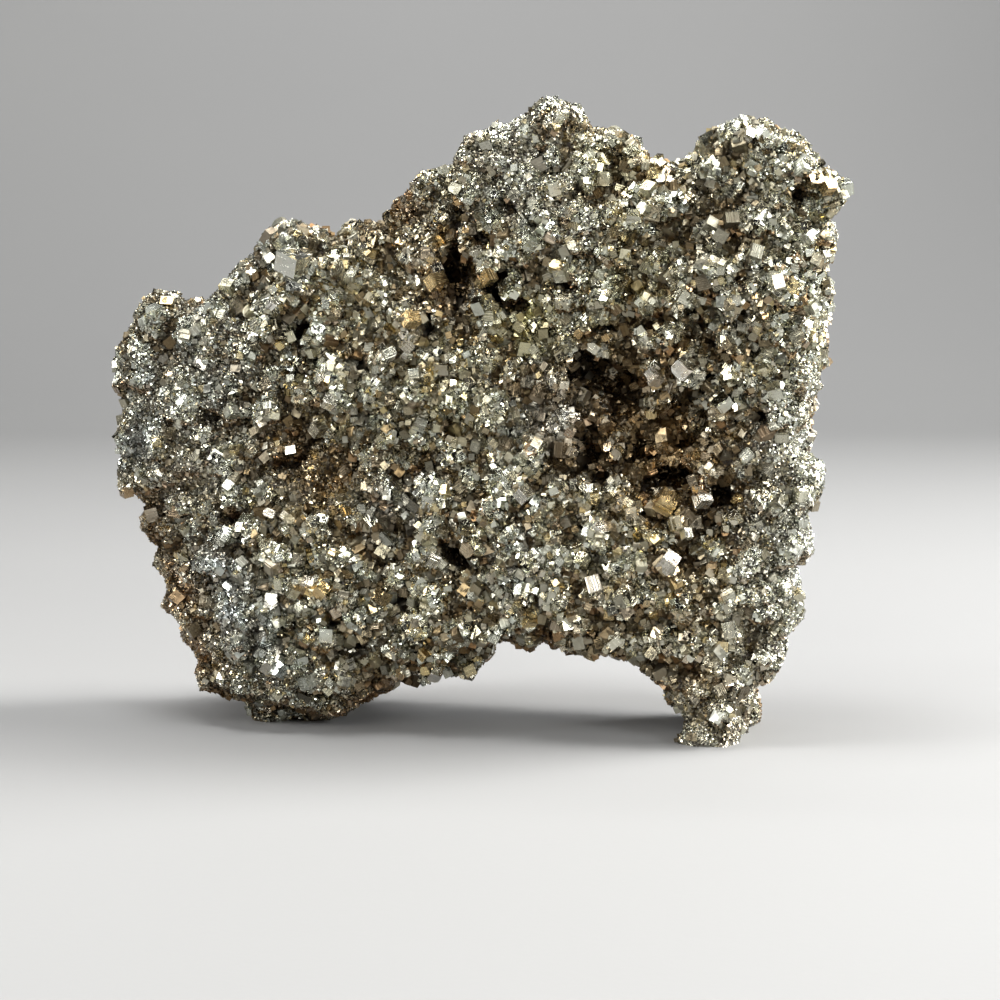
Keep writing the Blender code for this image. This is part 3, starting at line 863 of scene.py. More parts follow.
@dataclass
class Tinting:
    """Gives every crystal its colour and polish from where it grows, with painted shade in hollows, in
    valleys and on undersides.

    Attributes:
        seed: Start of the source of chance.
        raggedness: How far the border of face and back wanders, in mm.
        border: How far through the slab the back is reached, and the face, in mm.
        silvering: Share of silver that the lumps' tops take.
        browning: Share of brown that pits and valleys take.
        rust_and_underside_shade: Share of rust colour that the border and the undersides take; on the
            undersides it is painted shade as well as rust.
        back_rusting: Share of rust in the back's rusty patches.
        spread: Least and most brightness that chance gives a crystal.
        valley_shade: Painted shade: how much darker the valleys between the lumps are.
        pit_shade: Painted shade: how much darker the crystals are where the skin sees little round it, as
            in pits.
    """

    seed: int = 3
    raggedness: float = 3.0
    border: tuple[float, float] = (9.0, 1.0)
    silvering: float = 0.6
    browning: float = 0.85
    rust_and_underside_shade: float = 0.75
    back_rusting: float = 0.7
    spread: tuple[float, float] = (0.80, 1.16)
    valley_shade: float = 0.45
    pit_shade: float = 0.2

    def zone_share(self, points: np.ndarray, normals: np.ndarray) -> np.ndarray:
        """Say how much each place belongs to the sparkling face.

        Args:
            points: Places in metres.
            normals: Which way the skin faces there.

        Returns:
            Shares from 0 on the back to 1 on the face.
        """
        _, through, _ = slab_places(points)
        ragged = self.raggedness * drifting(points, 7.0 * MM)
        front = smooth_step(through + ragged, *self.border)
        return np.maximum(front, smooth_step(-(normals @ THROUGH), 0.15, 0.5))

    def colours(
        self, points: np.ndarray, normals: np.ndarray, openness: np.ndarray, height: np.ndarray
    ) -> tuple[np.ndarray, np.ndarray]:
        """Colour the crystals.

        Args:
            points: Where they grow.
            normals: Which way the skin faces there.
            openness: How open the skin is there.
            height: How high on a lump they grow, from -1 in a pit to 1.

        Returns:
            A colour and a roughness for each.
        """
        rng = np.random.default_rng(self.seed)
        count = len(points)
        share = self.zone_share(points, normals)
        tints, polish = np.empty((count, 3)), np.empty(count)
        on_face = rng.random(count) < share
        for zone, rows in ((Zone.FACE, on_face), (Zone.BACK, ~on_face)):
            palette = PALETTES[zone]
            picks = rng.choice(len(palette.colours), size=count, p=palette.shares)
            tints[rows] = np.array(palette.colours)[picks][rows]
            low, high = palette.polish
            polish[rows] = (low + (high - low) * rng.random(count) ** 1.6)[rows]
        along, _, up = slab_places(points)
        blotch = drifting(points, 4.0 * MM)
        for stain in FACE_STAINS:
            patch = faded(along, up, (stain.along, stain.up), stain.reach) * share
            by = stain.strength * patch * (1.0 + 0.9 * blotch) * rng.uniform(0.5, 1.3, count)
            tints += (np.array(stain.colour) - tints) * np.clip(by, 0.0, 0.95)[:, None]
        patchy = 0.45 + 0.55 * smooth_step(drifting(points, 11.0 * MM), -0.3, 0.3)
        # The valleys between the lumps take brown, and are darkened as painted shade below.
        valley = smooth_step(height, 0.5, 0.15) * patchy * smooth_step(along, 50.0, 38.0)
        tops = share * smooth_step(height, 0.4, 0.8) * rng.uniform(0.1, 0.9, count)
        tints += (np.array(SILVER) - tints) * (self.silvering * tops)[:, None]
        deep = np.maximum(smooth_step(openness, 0.55, 0.2), valley)
        by = self.browning * deep * rng.uniform(0.3, 1.3, count)
        tints += (np.array(BROWN) - tints) * by[:, None].clip(0, 0.92)
        # Painted shade: crystals where the skin sees little round it, as in pits and hollows, are darkened,
        # and so are the valleys.
        in_pit = 1.0 - self.pit_shade * smooth_step(openness, 0.5, 0.1)
        tints *= (in_pit * (1.0 - self.valley_shade * valley))[:, None]
        rim = 4.0 * share * (1.0 - share) * smooth_step(drifting(points, 9.0 * MM), -0.35, 0.2)
        # Rust on the border is the rock's own; on the undersides the same rust colour is also painted
        # shade.
        under = 0.8 * smooth_step(-normals[:, 2], 0.5, 0.9)
        tints += (np.array(RUST) - tints) * (self.rust_and_underside_shade * np.maximum(rim, under))[:, None]
        rusty = smooth_step(drifting(points, 13.0 * MM), 0.12, 0.5) * (1.0 - share)
        tints += (np.array(RUST) - tints) * (self.back_rusting * rusty)[:, None]
        tints *= rng.uniform(*self.spread, count)[:, None]
        return tints.clip(0.02, 0.9), (polish + 0.12 * deep).clip(0.06, 0.75)


class Nodes:
    """Short ways to lay out a material's nodes."""

    def __init__(self, material: bpy.types.Material) -> None:
        """Start from the shader and the output that a new material has.

        Args:
            material: The material to lay out.
        """
        material.use_nodes = True
        self.tree = material.node_tree
        self.shader = self.tree.nodes["Principled BSDF"]

    def add(self, kind: str, **settings: object) -> bpy.types.Node:
        """Add a node.

        Args:
            kind: Its type.
            **settings: Properties, or inputs by their name in lower case with underscores.

        Returns:
            The node.
        """
        node = self.tree.nodes.new(kind)
        for key, value in settings.items():
            if hasattr(node, key):
                setattr(node, key, value)
            else:
                node.inputs[key.replace("_", " ").title()].default_value = value
        return node

    def link(self, source: bpy.types.NodeSocket, target: bpy.types.NodeSocket) -> None:
        """Join two sockets."""
        self.tree.links.new(source, target)

    def attribute(self, name: str) -> bpy.types.Node:
        """Read a value that the mesh carries."""
        return self.add("ShaderNodeAttribute", attribute_name=name)

    def maths(self, operation: str, first: object, second: object) -> bpy.types.NodeSocket:
        """Work out one value from two.

        Args:
            operation: Blender's name of it.
            first: A socket or a number.
            second: A socket or a number.

        Returns:
            The result's socket.
        """
        node = self.add("ShaderNodeMath", operation=operation)
        for socket, value in zip(node.inputs, (first, second)):
            if isinstance(value, bpy.types.NodeSocket):
                self.link(value, socket)
            else:
                socket.default_value = value
        return node.outputs[0]

    def ramp(self, source: bpy.types.NodeSocket, low: float, high: float) -> bpy.types.NodeSocket:
        """Spread the values between two others over 0 to 1, smoothly.

        Args:
            source: Socket of the values.
            low: What becomes 0.
            high: What becomes 1.

        Returns:
            The result's socket.
        """
        node = self.add("ShaderNodeMapRange", interpolation_type="SMOOTHSTEP")
        node.inputs["From Min"].default_value = low
        node.inputs["From Max"].default_value = high
        self.link(source, node.inputs["Value"])
        return node.outputs["Result"]

    def noise(self, scale: float, detail: float = 2.0, vector: object = None) -> bpy.types.NodeSocket:
        """Add noise in the cluster's own space, or over a given place.

        Args:
            scale: Blotches in a metre.
            detail: How much finer noise is in it.
            vector: Socket of the place, or None for the cluster's own.

        Returns:
            The noise's socket.
        """
        node = self.add("ShaderNodeTexNoise", scale=scale, detail=detail)
        place = vector or self.add("ShaderNodeTexCoord").outputs["Object"]
        self.link(place, node.inputs["Vector"])
        return node.outputs["Fac"]

    def vectors(self, operation: str, first: object, second: object) -> bpy.types.Node:
        """Work out a vector, or a value, from two vectors.

        Args:
            operation: Blender's name of it.
            first: A socket.
            second: A socket or a vector.

        Returns:
            The node.
        """
        node = self.add("ShaderNodeVectorMath", operation=operation)
        for socket, value in zip(node.inputs, (first, second)):
            if isinstance(value, bpy.types.NodeSocket):
                self.link(value, socket)
            else:
                socket.default_value = value
        return node

    def facets(self, across: float) -> bpy.types.NodeSocket:
        """Give a height, in metres, that leans another way in each small cell.

        Args:
            across: Size of the cells, in metres.

        Returns:
            The height's socket.
        """
        place = self.add("ShaderNodeTexCoord").outputs["Object"]
        cells = self.add("ShaderNodeTexVoronoi", scale=1.0 / across)
        self.link(place, cells.inputs["Vector"])
        off = self.vectors("SUBTRACT", place, cells.outputs["Position"]).outputs["Vector"]
        lean = self.vectors("SUBTRACT", cells.outputs["Color"], (0.5, 0.5, 0.5)).outputs["Vector"]
        return self.vectors("DOT_PRODUCT", off, lean).outputs["Value"]

    def mix(self, share: object, first: object, second: object, blend: str = "MIX") -> bpy.types.NodeSocket:
        """Mix two colours.

        Args:
            share: Socket or number, how much of the second.
            first: Socket or colour.
            second: Socket or colour.
            blend: Blender's name of the way to mix.

        Returns:
            The colour's socket.
        """
        node = self.add("ShaderNodeMix", data_type="RGBA", blend_type=blend)
        for socket, value in zip((node.inputs[0], node.inputs[6], node.inputs[7]), (share, first, second)):
            if isinstance(value, bpy.types.NodeSocket):
                self.link(value, socket)
            else:
                socket.default_value = value if isinstance(value, float) else (*value, 1.0)
        return node.outputs[2]

    def bump(
        self, height: bpy.types.NodeSocket, deep: float, strength: float, under: object = None
    ) -> bpy.types.NodeSocket:
        """Raise the surface by a height.

        Args:
            height: Socket of the height, from 0 to 1.
            deep: What 1 stands for, in metres.
            strength: Share of it that is used.
            under: Socket of a coarser normal that it goes on, or None.

        Returns:
            The normal's socket.
        """
        node = self.add("ShaderNodeBump", strength=strength, distance=deep)
        self.link(height, node.inputs["Height"])
        if under is not None:
            self.link(under, node.inputs["Normal"])
        return node.outputs["Normal"]


@dataclass(frozen=True)
class CrystalFinish:
    """Pyrite crystals with striae, painted shade in the striae's furrows, growth steps, a film of tarnish
    and each its own tint and polish.

    Attributes:
        name: Name of the material.
        striae: How deep the striae are, from 0 to 1.
        steps: How strong the blocky growth steps are, from 0 to 1.
        grain: How strong the fine pitting is, from 0 to 1.
        tarnish: How much of the brownish film there is, from 0 to 1.
        broken: How much the faces are broken up into smaller ones, from 0 to 1.
        piece: Size of those smaller ones, in mm.
    """

    name: str
    striae: float
    steps: float
    grain: float
    tarnish: float
    broken: float
    piece: float

    FILM_TINT: ClassVar[tuple[float, float, float]] = (0.80, 0.60, 0.38)
    FURROW_SHADE_TINT: ClassVar[tuple[float, float, float]] = (0.32, 0.27, 0.20)
    SPECK_TINT: ClassVar[tuple[float, float, float]] = (0.40, 0.34, 0.26)
    STRIAE_SCALE: ClassVar[tuple[float, float, float]] = (6.0, 0.06, 1.0)  # across and along, in a mm
    STRIA_DEPTH: ClassVar[float] = 0.06 * MM
    BLOCKS: ClassVar[float] = 1.5  # growth steps in a mm
    STEP_HEIGHT: ClassVar[float] = 0.05 * MM
    FILM_PATCHES: ClassVar[float] = 210.0  # in a metre, as the next two
    SPECKS: ClassVar[float] = 2300.0
    GRAINS: ClassVar[float] = 3800.0
    GRAIN_DEPTH: ClassVar[float] = 0.03 * MM

    def material(self) -> bpy.types.Material:
        """Lay out the finish as a material.

        Returns:
            The material.
        """
        material = bpy.data.materials.new(self.name)
        nodes = Nodes(material)
        shader = nodes.shader
        tint = nodes.attribute("tint").outputs["Color"]
        face = nodes.add("ShaderNodeUVMap", uv_map="face").outputs["UV"]
        lined = nodes.attribute("striae").outputs["Fac"]

        stretched = nodes.add("ShaderNodeMapping")
        stretched.inputs["Scale"].default_value = self.STRIAE_SCALE
        nodes.link(face, stretched.inputs["Vector"])
        lines = nodes.ramp(nodes.noise(1.0, 1.5, stretched.outputs["Vector"]), 0.38, 0.60)
        furrow = nodes.maths("MULTIPLY", nodes.maths("SUBTRACT", 1.0, lines), lined)

        blocks = nodes.add("ShaderNodeTexVoronoi", distance="CHEBYCHEV", scale=self.BLOCKS)
        nodes.link(face, blocks.inputs["Vector"])
        block = nodes.add("ShaderNodeSeparateColor")
        nodes.link(blocks.outputs["Color"], block.inputs["Color"])

        film = nodes.ramp(nodes.noise(self.FILM_PATCHES, 4.0), 0.48, 0.72)
        film = nodes.maths("MULTIPLY", film, self.tarnish)
        bare = nodes.ramp(nodes.noise(self.SPECKS, 2.0), 0.30, 0.46)
        specks = nodes.maths("MULTIPLY", nodes.maths("SUBTRACT", 1.0, bare), 0.5 * self.grain)

        filmed = nodes.mix(film, tint, self.FILM_TINT, "MULTIPLY")
        # Painted shade: the striae's furrows are darkened in colour as well as cut by the bump.
        shaded = nodes.mix(nodes.maths("MULTIPLY", furrow, 0.55), filmed, self.FURROW_SHADE_TINT, "MULTIPLY")
        pitted = nodes.mix(specks, shaded, self.SPECK_TINT, "MULTIPLY")
        nodes.link(pitted, shader.inputs["Base Color"])

        polish = nodes.attribute("polish").outputs["Fac"]
        blocky = nodes.maths("MULTIPLY", block.outputs["Red"], 0.10)
        filmy, furrowed = nodes.maths("MULTIPLY", film, 0.16), nodes.maths("MULTIPLY", furrow, 0.14)
        duller = nodes.maths("ADD", filmy, furrowed)
        rough = nodes.maths("ADD", nodes.maths("ADD", polish, blocky), duller)
        nodes.link(rough, shader.inputs["Roughness"])

        normal = nodes.bump(nodes.facets(self.piece * MM), 1.0, self.broken)
        if self.steps:
            normal = nodes.bump(block.outputs["Green"], self.STEP_HEIGHT, self.steps, normal)
        if self.striae:
            normal = nodes.bump(nodes.maths("SUBTRACT", 1.0, furrow), self.STRIA_DEPTH, self.striae, normal)
        if self.grain:
            normal = nodes.bump(nodes.noise(self.GRAINS, 1.0), self.GRAIN_DEPTH, self.grain, normal)
        nodes.link(normal, shader.inputs["Normal"])
        shader.inputs["Metallic"].default_value = 1.0
        return material


@dataclass(frozen=True)
class GroundFinish:
    """The finest sugary pyrite, which the crystals grow on, with dirt in its pores.

    Attributes:
        name: Name of the material.
        dirt: Colour of what is caught in the pores.
        grain: Size of its grains, in mm.
    """

    name: str
    dirt: tuple[float, float, float]
    grain: float

    def material(self) -> bpy.types.Material:
        """Lay out the finish as a material.

        Returns:
            The material.
        """
        material = bpy.data.materials.new(self.name)
        nodes = Nodes(material)
        shader = nodes.shader
        tint = nodes.attribute("tint").outputs["Color"]
        dirty = nodes.ramp(nodes.noise(1400.0, 2.0), 0.50, 0.62)
        nodes.link(nodes.mix(dirty, tint, self.dirt), shader.inputs["Base Color"])
        polish = nodes.attribute("polish").outputs["Fac"]
        rough = nodes.maths("ADD", nodes.maths("MULTIPLY", dirty, 0.35), polish)
        nodes.link(rough, shader.inputs["Roughness"])
        metal = nodes.maths("SUBTRACT", 1.0, nodes.maths("MULTIPLY", dirty, 0.6))
        nodes.link(metal, shader.inputs["Metallic"])
        nodes.link(nodes.bump(nodes.facets(self.grain * MM), 1.0, 1.0), shader.inputs["Normal"])
        return material


LARGE_FINISH = CrystalFinish("striated_pyrite_crystals", 0.9, 0.6, 0.2, 0.40, broken=0.22, piece=0.7)
SMALL_FINISH = CrystalFinish("small_pyrite_crystals", 0.5, 0.0, 0.0, 0.35, broken=0.40, piece=0.45)
SUGAR_FINISH = CrystalFinish("sugary_pyrite", 0.0, 0.0, 0.0, 0.35, broken=0.9, piece=0.3)
BACK_FINISH = CrystalFinish("dull_back_pyrite", 0.0, 0.0, 0.5, 0.8, broken=0.6, piece=0.4)
GROUND_FINISH = GroundFinish("sugary_ground_pyrite", dirt=(0.035, 0.026, 0.018), grain=0.4)


def keep_piece(mesh: bpy.types.Mesh, name: str, material: bpy.types.Material) -> bpy.types.Object:
    """Put a mesh in the scene as a piece that stands for the solid and takes its finish.

    Args:
        mesh: The mesh, placed where it is in the cluster.
        name: Name of the piece.
        material: Its material.

    Returns:
        The piece.
    """
    mesh.materials.append(material)
    piece = bpy.data.objects.new(name, mesh)
    bpy.context.scene.collection.objects.link(piece)
    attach(piece, "root")
    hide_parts(NODE)
    return piece


def bare_mesh(name: str, points: np.ndarray, corners: np.ndarray, starts: np.ndarray) -> bpy.types.Mesh:
    """Make a mesh from arrays.

    Args:
        name: Name of the mesh.
        points: Places of its corners.
        corners: Corner numbers of all faces, one after another.
        starts: Where each face starts in them.

    Returns:
        The mesh, with flat faces.
    """
    mesh = bpy.data.meshes.new(name)
    mesh.vertices.add(len(points))
    mesh.vertices.foreach_set("co", points.astype(np.float32).ravel())
    mesh.loops.add(len(corners))
    mesh.loops.foreach_set("vertex_index", corners.astype(np.int32))
    mesh.polygons.add(len(starts))
    mesh.polygons.foreach_set("loop_start", starts.astype(np.int32))
    mesh.update(calc_edges=True)
    mesh.shade_flat()
    return mesh


def carry(mesh: bpy.types.Mesh, name: str, values: np.ndarray) -> None:
    """Store a value, or a colour, for each face of a mesh.

    Args:
        mesh: The mesh.
        name: Name that the material reads it by.
        values: One number, or three, for each face.
    """
    if values.ndim == 1:
        layer = mesh.attributes.new(name, "FLOAT", "FACE")
        layer.data.foreach_set("value", values.astype(np.float32))
    else:
        layer = mesh.attributes.new(name, "FLOAT_COLOR", "FACE")
        opaque = np.concatenate([values, np.ones((len(values), 1))], axis=1)
        layer.data.foreach_set("color", opaque.astype(np.float32).ravel())


STRIAE_FIELD = 50.0  # mm of the striae's pattern over which the crystals are spread


@dataclass
class Crystals:
    """Crystals that are placed and coloured, and are still to be built.

    Attributes:
        habits: The habits that occur.
        picks: For each crystal, which of them it has.
        middles: Where each one's middle is, or its tip if it is a corner.
        turns: A matrix for each.
        sizes: Three edges for each, in metres.
        tints: A colour for each.
        polish: A roughness for each.
        lined: How strongly each is striated.
    """

    habits: list[Habit]
    picks: np.ndarray
    middles: np.ndarray
    turns: np.ndarray
    sizes: np.ndarray
    tints: np.ndarray
    polish: np.ndarray
    lined: np.ndarray

    def piece(self, name: str, finish: CrystalFinish, seed: int) -> bpy.types.Object:
        """Build them as one piece.

        Args:
            name: Name of the piece.
            finish: Their finish.
            seed: Start of the source of chance.

        Returns:
            The piece.
        """
        rng = np.random.default_rng(seed)
        columns = math.ceil(math.sqrt(len(self.picks)))
        keys = ("points", "corners", "sides", "face", "bake", "rows")
        parts: dict[str, list[np.ndarray]] = {key: [] for key in keys}
        start = 0
        for number, habit in enumerate(self.habits):
            rows = np.flatnonzero(self.picks == number)
            form = FORMS[habit]
            sized = form.points[None] * self.sizes[rows][:, None]
            placed = np.einsum("nij,nkj->nki", self.turns[rows], sized) + self.middles[rows][:, None]
            parts["points"].append(placed.reshape(-1, 3))
            flat = np.concatenate([np.array(face) for face in form.faces])
            offsets = start + np.arange(len(rows)) * len(form.points)
            parts["corners"].append((flat[None] + offsets[:, None]).ravel())
            parts["sides"].append(np.tile([len(face) for face in form.faces], len(rows)))
            in_face = form.face_places()
            edges = self.sizes[rows].mean(axis=1)[:, None, None] / MM
            striated = in_face[None] * edges + rng.uniform(0, STRIAE_FIELD, (len(rows), 1, 2))
            parts["face"].append(striated.reshape(-1, 2))
            cell = np.stack([rows % columns, rows // columns], axis=1)
            chart = (cell[:, None] + 0.2 + 0.6 * in_face[None].clip(0, 1)) / columns
            parts["bake"].append(chart.reshape(-1, 2))
            parts["rows"].append(np.repeat(rows, len(form.faces)))
            start += len(rows) * len(form.points)
        joined = {key: np.concatenate(part) for key, part in parts.items()}
        rows = joined["rows"]
        starts = np.concatenate([[0], joined["sides"].cumsum()[:-1]])
        mesh = bare_mesh(name, joined["points"], joined["corners"], starts)
        for layer, key in (("OFBake", "bake"), ("face", "face")):
            mesh.uv_layers.new(name=layer).uv.foreach_set("vector", joined[key].astype(np.float32).ravel())
        carry(mesh, "tint", self.tints[rows] * rng.uniform(0.9, 1.1, len(rows))[:, None])
        carry(mesh, "polish", self.polish[rows] * rng.uniform(0.7, 1.4, len(rows)))
        carry(mesh, "striae", self.lined[rows])
        return keep_piece(mesh, name, finish.material())


CELL_PRIMES = np.array((73856093, 19349663, 83492791))  # they spread neighbouring cells' numbers


@dataclass
class CrystalCrop:
    """Crystals of one range of sizes that grow together.

    Attributes:
        name: Name of the piece.
        habits: Their habits, each with its share.
        edges: Smallest and largest edge, in mm.
        finish: Their finish.
        seed: Start of the source of chance.
        crowding: Room that each one keeps, as a share of its edge.
        most_triangles: Where the piece stops growing.
        sunk: How far the middle lies over the skin, lowest and highest, as shares of the edge.
        kinship: Share of the crystals that lie the way their neighbours do.
        fineness: How rare the larger ones are: 1 for all sizes alike, more for mostly small ones.
        family: Size of the patches in which crystals lie alike, in mm.
        families: How many ways such patches may lie.
        leaning: How far a crystal leans from its patch's way.
        corners_out: Share of the crystals that show a corner.
        clearance: Height of the lowest ones over the floor, in edges.
    """

    name: str
    habits: dict[Habit, float]
    edges: tuple[float, float]
    finish: CrystalFinish
    seed: int
    crowding: float
    most_triangles: int = 195_000
    sunk: tuple[float, float] = (-0.3, 0.12)
    kinship: float = 0.3
    fineness: float = 1.8
    family: float = 3.4
    families: int = 4096
    leaning: float = 0.07
    corners_out: float = 0.35
    clearance: float = 0.9

    def grow(self, skin: Skin, weights: np.ndarray, larger: KDTree | None, tries: int) -> np.ndarray:
        """Pick where the crystals stand and how large they are.

        Args:
            skin: What they grow on.
            weights: How thickly they grow on each triangle.
            larger: Tree of the larger crystals, which they stay out of, or None.
            tries: How many places are tried.

        Returns:
            The places, then the triangles, then the edges in metres, as columns.
        """
        rng = np.random.default_rng(self.seed)
        places, triangles = skin.scatter(weights, tries, rng)
        low, high = self.edges
        edges = (low + (high - low) * rng.random(tries) ** self.fineness) * MM
        clear = places[:, 2] > self.clearance * edges
        if larger is not None:
            near = [larger.find(place)[2] for place in places]
            clear &= np.array(near) > self.crowding * 0.5 * edges
        places, triangles, edges = places[clear], triangles[clear], edges[clear]
        kept = thinned(places, self.crowding * edges)
        return np.column_stack([places[kept], triangles[kept], edges[kept]])

    def turns(self, places: np.ndarray, outward: np.ndarray, rng: np.random.Generator) -> np.ndarray:
        """Turn the crystals, some of them alike within a patch.

        Args:
            places: Where they stand.
            outward: Unit vectors away from the skin.
            rng: The source of chance.

        Returns:
            A matrix for each.
        """
        count = len(places)
        own = random_turns(count, rng)
        cells = np.floor(places / (self.family * MM) + 0.35 * rng.random((count, 3))).astype(np.int64)
        number = (cells * CELL_PRIMES).sum(axis=1) % self.families
        shared = random_turns(self.families, np.random.default_rng(11))[number]
        leaning = np.eye(3) + self.leaning * rng.normal(size=(count, 3, 3))
        kin = rng.random(count) < self.kinship
        turns = np.where(kin[:, None, None], shared @ np.linalg.qr(leaning)[0], own)
        corner_out = corner_turns(outward, 0.55, rng)
        return np.where((rng.random(count) < self.corners_out)[:, None, None], corner_out, turns)

    def crystals(self, skin: Skin, grown: np.ndarray, tinting: Tinting) -> Crystals:
        """Shape, turn and colour the crystals.

        Args:
            skin: What they grow on.
            grown: What grow returned.
            tinting: Gives them their colours.

        Returns:
            The crystals.
        """
        rng = np.random.default_rng(self.seed + 100)
        habits = list(self.habits)
        picks = rng.choice(len(habits), size=len(grown), p=list(self.habits.values()))
        cost = np.array([FORMS[habit].triangles for habit in habits])[picks].cumsum()
        grown, picks = grown[cost <= self.most_triangles], picks[cost <= self.most_triangles]
        places, triangles, edges = grown[:, :3], grown[:, 3].astype(int), grown[:, 4]
        outward = skin.normals[triangles]
        corner = np.array([habit is Habit.CORNER for habit in habits])[picks]
        turns = self.turns(places, outward, rng)
        turns = np.where(corner[:, None, None], corner_turns(outward, 0.6, rng), turns)
        over = rng.uniform(*self.sunk, size=len(grown)) + 0.42 * corner
        tints, polish = tinting.colours(places, outward, skin.openness[triangles], skin.height[triangles])
        lined = np.where(rng.random(len(grown)) < 0.5, rng.uniform(0.3, 1.0, len(grown)), 0.08)
        return Crystals(
            habits,
            picks,
            places + outward * (over * edges)[:, None],
            turns,
            rng.uniform(0.8, 1.18, size=(len(grown), 3)) * edges[:, None],
            tints,
            polish,
            lined,
        )


class Glance(Enum):
    """What a crystal's main face shows the viewer, and the colour of its metal, which for the WHITE ones is
    paler than any other as a painted highlight on top of the real reflection.
    """

    WHITE = ("window_light", (0.80, 0.78, 0.70))
    GOLD = ("window_light", (0.72, 0.56, 0.30))
    PALE = ("front_fill", (0.68, 0.65, 0.56))
    GREY = (None, (0.52, 0.52, 0.46))


@dataclass(frozen=True)
class ShowCrystal:
    """One of the crystals that catch the eye on the face.

    Attributes:
        along: Where it is along the slab, in mm.
        up: Where it is above the floor, in mm.
        edge: Its edge, in mm.
        glance: What its main face shows.
        lined: How strongly it is striated.
    """

    along: float
    up: float
    edge: float
    glance: Glance
    lined: float = 0.1


WHITE, GOLD, PALE, GREY = Glance
SHOW_CRYSTALS = (
    ShowCrystal(33.0, 54.5, 3.0, WHITE),
    ShowCrystal(28.0, 53.5, 2.5, WHITE, 1.0),
    ShowCrystal(-21.0, 21.5, 2.2, GOLD),
    ShowCrystal(-23.5, 22.5, 2.0, WHITE, 0.8),
    ShowCrystal(45.5, 67.0, 2.0, PALE),
    ShowCrystal(52.0, 80.0, 2.0, GOLD, 1.0),
    ShowCrystal(9.0, 36.5, 2.2, WHITE, 1.0),
    ShowCrystal(29.5, 35.5, 2.5, GOLD, 1.0),
    ShowCrystal(35.0, 36.5, 2.4, WHITE, 1.0),
    ShowCrystal(20.5, 31.0, 2.4, WHITE, 0.6),
    ShowCrystal(30.0, 27.0, 2.4, WHITE, 1.0),
    ShowCrystal(10.0, 18.0, 2.0, GOLD),
    ShowCrystal(19.5, 23.0, 2.4, PALE, 1.0),
    ShowCrystal(24.0, 22.5, 1.6, WHITE),
    ShowCrystal(22.0, 25.0, 1.5, WHITE),
    ShowCrystal(40.0, 36.0, 1.5, GOLD),
    ShowCrystal(-24.5, 69.5, 3.6, GREY),
    ShowCrystal(-25.0, 66.5, 2.6, GREY),
    ShowCrystal(-28.0, 63.5, 1.8, WHITE),
    ShowCrystal(-7.5, 61.5, 2.3, GOLD, 1.0),
    ShowCrystal(-7.0, 59.0, 2.6, WHITE),
    ShowCrystal(-7.5, 56.5, 2.0, WHITE),
    ShowCrystal(-3.5, 66.5, 2.6, GOLD, 1.0),
    ShowCrystal(-3.0, 72.5, 2.0, GOLD),
    ShowCrystal(-19.5, 49.5, 2.0, WHITE, 1.0),
    ShowCrystal(-20.5, 52.5, 1.6, WHITE),
    ShowCrystal(-28.0, 70.0, 1.6, PALE),
    ShowCrystal(-4.0, 27.0, 2.0, WHITE, 1.0),
    ShowCrystal(-4.0, 10.0, 1.8, WHITE),
    ShowCrystal(-6.5, 10.5, 1.8, PALE),
    ShowCrystal(-5.5, 12.5, 1.6, GOLD),
    ShowCrystal(-17.0, 33.0, 1.3, GOLD),
    ShowCrystal(-28.5, 32.5, 1.6, PALE, 1.0),
    ShowCrystal(-28.5, 19.5, 2.4, GREY),
    ShowCrystal(-25.5, 42.0, 1.6, PALE),
    ShowCrystal(4.0, 67.5, 2.0, GOLD, 1.0),
    ShowCrystal(30.0, 80.5, 1.6, WHITE),
    ShowCrystal(41.0, 87.0, 1.5, WHITE),
    ShowCrystal(53.0, 82.0, 1.8, PALE),
    ShowCrystal(49.0, 60.5, 1.8, WHITE),
    ShowCrystal(52.5, 58.0, 2.2, PALE),
)


